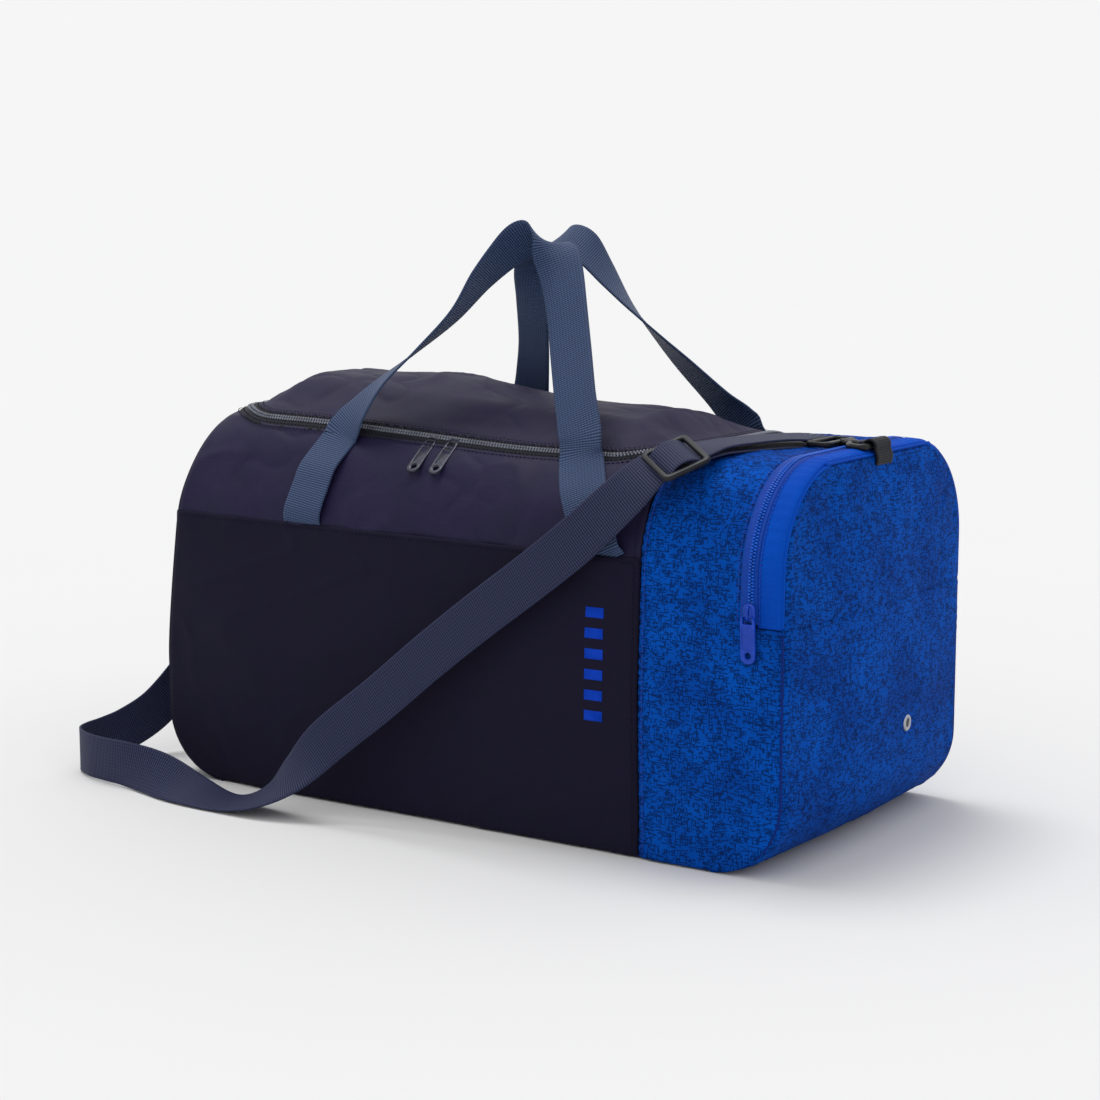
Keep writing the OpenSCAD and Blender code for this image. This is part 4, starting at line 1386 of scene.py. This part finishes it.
def make_sliders():
    for name, x in (("left", node_box("main_slider_left")), ("right", node_box("main_slider_right"))):
        cx = (x[0][0] + x[1][0]) / 2
        m = on_shoulder(cx)
        parts = Parts()
        slider_parts(parts, m)
        obj = parts.build("main_slider_" + name)
        finish_piece(obj, "main_slider_" + name[0], MAT["slider"], ["main_slider_" + name])
        parts = Parts()
        lift = Matrix.Translation((0, 0, PULL_RISE - 0.8)) @ Matrix.Rotation(math.radians(13), 4, "X")
        pull_parts(parts, m @ lift, 38, 11.5)
        obj = parts.build("main_pull_" + name)
        finish_piece(obj, "main_pull_" + name[0], MAT["slider"], ["main_pull_" + name])
    z = (node_box("end_slider")[0][2] + node_box("end_slider")[1][2]) / 2
    stand = place(END_ZIP_X, -HALF_W - 0.6, z, 90)
    parts = Parts()
    slider_parts(parts, stand @ Matrix.Rotation(math.radians(-90), 4, "Z"))
    obj = parts.build("end_slider")
    finish_piece(obj, "end_zip_slider", MAT["slider_blue"], ["end_slider"])
    parts = Parts()
    hang = place(END_ZIP_X, -HALF_W - 5.5, z, 90 + 3)
    pull_parts(parts, hang, 38, 12)
    finish_piece(parts.build("end_pull"), "end_zip_pull", MAT["slider_blue"], ["end_pull"])
    parts = Parts()
    parts.add(*blob((4.2, 1.2, 1.4), 0.5), Matrix.Translation((END_ZIP_X, -HALF_W - 1.2, FLAP_Z - 1.8)))
    finish_piece(parts.build("end_zip_stop"), "bag", MAT["slider_blue"], ["end_zip_stop"])


make_sliders()


def lathe(profile, n=36):
    """A ring about X from (x, r) points."""
    profile = np.asarray(profile, float)
    a = np.linspace(0, 2 * math.pi, n, endpoint=False)
    verts = np.stack([np.broadcast_to(profile[:, 0:1], (len(profile), n)),
                      profile[:, 1:2] * np.cos(a), profile[:, 1:2] * np.sin(a)], -1).reshape(-1, 3)
    index = np.arange(len(profile) * n).reshape(-1, n)
    b = np.roll(index, -1, 0)
    quads = np.stack([index, np.roll(index, -1, 1), np.roll(b, -1, 1), b], -1).reshape(-1, 4)
    return verts, quads[:, ::-1].tolist()


def make_eyelet():
    low, high = node_box("eyelet_ring")
    y, z = (low[1] + high[1]) / 2, (low[2] + high[2]) / 2
    q = QUARTER + z - CORNER
    pts, yy = end_surface(np.full((1, 3), q), np.full((1, 3), y / float(half_width(z))), 1, 81)
    x = pts[0, 1, 0]
    m = Matrix.Translation((x - 0.2, y, z)) @ Matrix.Rotation(math.radians(3), 4, "Z")
    ring = [(-3.5, 3.6), (0.2, 3.5), (1.0, 3.9), (1.3, 4.8), (1.1, 5.9), (0.4, 6.8), (-0.2, 7.0),
            (-0.3, 5.0), (-3.5, 4.4)]
    parts = Parts()
    parts.add(*lathe(ring), m)
    obj = parts.build("eyelet_ring")
    finish_piece(obj, "bag", MAT["eyelet"], ["eyelet_ring", "eyelet_washer"])
    parts = Parts()
    # black disc in the eyelet's hole: painted shade standing for the dark inside of the bag
    parts.add(*blob((0.5, 3.9, 3.9), 1.0), m @ Matrix.Translation((0.15, 0, 0)))
    finish_piece(parts.build("eyelet_hole_painted_shade"), "bag", MAT["black"])


make_eyelet()


def make_tabs():
    """Webbing tabs sewn into the end seams and folded round the hooks' bars."""
    low, high = node_box("strap_tab_right")
    bx, bz = high[0] - 6, high[2] - 6
    width = high[1] - low[1]
    a = np.radians(np.linspace(-20, 200, 12))
    loop = np.stack([bx + 5.2 * np.cos(a), 0 * a, bz + 5.2 * np.sin(a)], -1)
    start = np.array([[RIGHT_X + 2.4, 0, bz - 14], [RIGHT_X + 3.4, 0, bz - 8]])
    tail = np.array([[bx - 9, 0, bz - 4.4], [bx - 18, 0, bz - 4.8]])
    line, along = resample(np.concatenate([start, loop, tail]), step=1.2)
    across = np.tile([0, 1.0, 0], (len(line), 1))
    obj = sweep("strap_tab_right", line, across, web_profile(width, 1.9))
    finish_piece(obj, "end_flap", MAT["web_black"], ["strap_tab_right"])
    low, high = node_box("strap_tab_left")
    bx, bz = low[0] + 6, low[2] + 6
    a = np.radians(np.linspace(160, 380, 12))
    loop = np.stack([bx + 5.0 * np.cos(a), 0 * a, bz + 5.0 * np.sin(a)], -1)
    start = np.array([[bx + 4.8, 0, bz + 22], [bx - 1.5, 0, bz + 14], [bx - 4.6, 0, bz + 6]])
    tail = np.array([[bx + 6.6, 0, bz + 10], [bx + 9.4, 0, bz + 23]])
    line, along = resample(np.concatenate([start, loop, tail]), step=1.2)
    across = np.tile([0, 1.0, 0], (len(line), 1))
    obj = sweep("strap_tab_left", line, across, web_profile(width, 1.6))
    finish_piece(obj, "bag", MAT["web_black"], ["strap_tab_left"])


make_tabs()


def make_hook(name, body, m):
    """Moulded swivel snap hook along +X, with its nose bar through the tab at the origin."""
    half = 18.5
    eye = WEB_W / 2 + 2.2
    parts = Parts()
    body_line = [(0, -half, 0), (0, 0, 0), (0, half - 3, 0), (1.5, half, 0), (5, half + 2, 0),
                 (12, half, 0), (18, half - 8, 0), (21, 0, 0)]
    parts.add(*bar(body_line, 2.7, 12), m)
    parts.add(*blob((5.2, 6.5, 3.4), 0.7), m @ Matrix.Translation((21, 0, 0)))
    parts.add(*bar([(24, 0, 0), (27, 0, 0), (30, 0, 0)], 3.6, 16), m)
    outline = round_box(28.5, -eye - 2.6, 50, eye + 2.6, 5, 6)
    window = round_box(33.5, -eye, 46, eye, 2.5, 5)
    parts.add(*plate(outline, [window], 4.6, 1.2), m)
    obj = parts.build("hook_" + name)
    finish_piece(obj, body, MAT["black"], ["hook_" + name])
    parts = Parts()
    spring = [(1, -half + 0.5, 0), (8, -half + 1, 0.4), (15, -half + 8, 0.6), (18.5, -5, 0.4)]
    parts.add(*bar(spring, 1.7, 10), m)
    obj = parts.build("hook_" + name + "_gate")
    gate = "gate_right" if name == "right" else "gate_left"
    finish_piece(obj, gate, MAT["slider"], ["hook_" + name + "_gate"])


right_low, right_high = node_box("hook_right")
left_low, left_high = node_box("hook_left")
make_hook("right", "end_flap", place(right_high[0] - 3, 0, (right_low[2] + right_high[2]) / 2, rz=180))
make_hook("left", "bag", place(left_high[0] - 3, 0, left_high[2] - 3, ry=102))


def make_adjuster():
    """Ladder buckle with the webbing folded over its middle bar."""
    low, high = node_box("strap_adjuster")
    c = (low + high) / 2
    x_axis = Vector((0.80, -0.52, -0.28)).normalized()
    z_axis = x_axis.cross(Vector((0.52, 0.75, 0.40))).normalized()
    y_axis = z_axis.cross(x_axis)
    m = Matrix((x_axis, y_axis, z_axis)).transposed().to_4x4()
    m.translation = (c[0] - 1.0, c[1] - 11.0, c[2] - 3.2)
    parts = Parts()
    half_x, half_y, rail = 24.0, 19.5, 4.3
    windows = [round_box(-half_x + rail, y0, half_x - rail, y1, 2.5, 5)
               for y0, y1 in ((-half_y + rail, -2.0), (2.0, half_y - rail))]
    frame = plate(round_box(-half_x, -half_y, half_x, half_y, 5, 6), windows, 4.4, 1.2)
    parts.add(*frame, m)
    obj = parts.build("strap_adjuster")
    finish_piece(obj, "bag", MAT["plastic"], ["strap_adjuster"])
    y = np.array([-14.5, -11, -6, 0.0, 6, 11, 14.5])
    z = np.array([-2.8, 0.9, 3.9, 4.9, 3.9, 0.9, -2.8])
    pts = np.stack([0 * y, y, z], -1)
    line, along = resample(pts, step=1.2)
    mm = np.array(m)
    line = line @ mm[:3, :3].T + mm[:3, 3]
    across = np.tile(mm[:3, 0], (len(line), 1))
    obj = sweep("adjuster_webbing", line, across, web_profile(WEB_W, 1.7))
    finish_piece(obj, "bag", MAT["strap"])


make_adjuster()


def make_return():
    """Second layer of the strap, from the hook's eye back under the adjuster."""
    route = [
        ((246, 0, 309.5), (0, -1, 0)),
        ((236, -3, 308.6), (0.2, -1, 0)),
        ((224, -26, 309), (0.7, -0.7, 0)),
        ((213, -58, 309.4), (0.9, -0.4, 0)),
        ((203, -92, 309.5), (1, -0.3, 0)),
        ((196, -118, 307.5), (0.9, -0.3, -0.1)),
    ]
    line, across, along = frame_lines(route)
    obj = sweep("strap_return", line, across, web_profile(WEB_W - 1, 1.6))
    obj.data.materials.append(MAT["strap"])
    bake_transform(obj)


make_return()


def make_bars():
    """Plain printed marks on the front panel."""
    low, high = node_box("printed_bars")
    count, pitch = 6, (high[2] - low[2] - 8) / 5
    for k in range(count):
        z0 = high[2] - 8 - pitch * k
        x = np.linspace(low[0], high[0], 12)[None, :]
        s = np.linspace(z0, z0 + 8, 7)[:, None]
        x, s = np.broadcast_arrays(x, s)
        height = pocket_height(x, s) + 0.28
        panel("printed_bar_%d" % (k + 1), "bag", MAT["print"],
              ["printed_bars"] if k == 0 else [], x, s, height, thickness=0.2)


make_bars()

# ---------------------------------------------------------------- stage and light


def make_stage():
    """Pale floor without an end, as bright as the studio round it."""
    reach = 60.0 / MM
    corners = [(-reach, -reach, 0), (reach, -reach, 0), (reach, reach, 0), (-reach, reach, 0)]
    floor = mesh_object("floor", corners, [(0, 1, 2, 3)], None, False)
    n = Nodes("floor_paper", roughness=0.95, specular=0.0)
    tones = [(0.0, (0.686, 0.686, 0.688, 1)), (1.0, (0.694, 0.694, 0.696, 1))]
    n.colour(n.ramp(n.noise(n.coords(False), 3.0), tones))
    floor.data.materials.append(n.mat)


def sun_light(name, toward, strength, spread):
    light = bpy.data.lights.new(name, "SUN")
    light.energy = strength
    light.angle = math.radians(spread)
    obj = bpy.data.objects.new(name, light)
    bpy.context.scene.collection.objects.link(obj)
    obj.rotation_euler = Vector(toward).to_track_quat("-Z", "Y").to_euler()


def make_lights():
    world = bpy.data.worlds.new("studio")
    bpy.context.scene.world = world
    world.use_nodes = True
    background = world.node_tree.nodes["Background"]
    background.inputs["Color"].default_value = (1.0, 1.0, 1.0, 1)
    background.inputs["Strength"].default_value = 0.92
    sun_light("key", (0.28, -0.10, -1.0), 1.35, 26)


make_stage()
make_lights()
bpy.context.scene.view_settings.view_transform = "Standard"
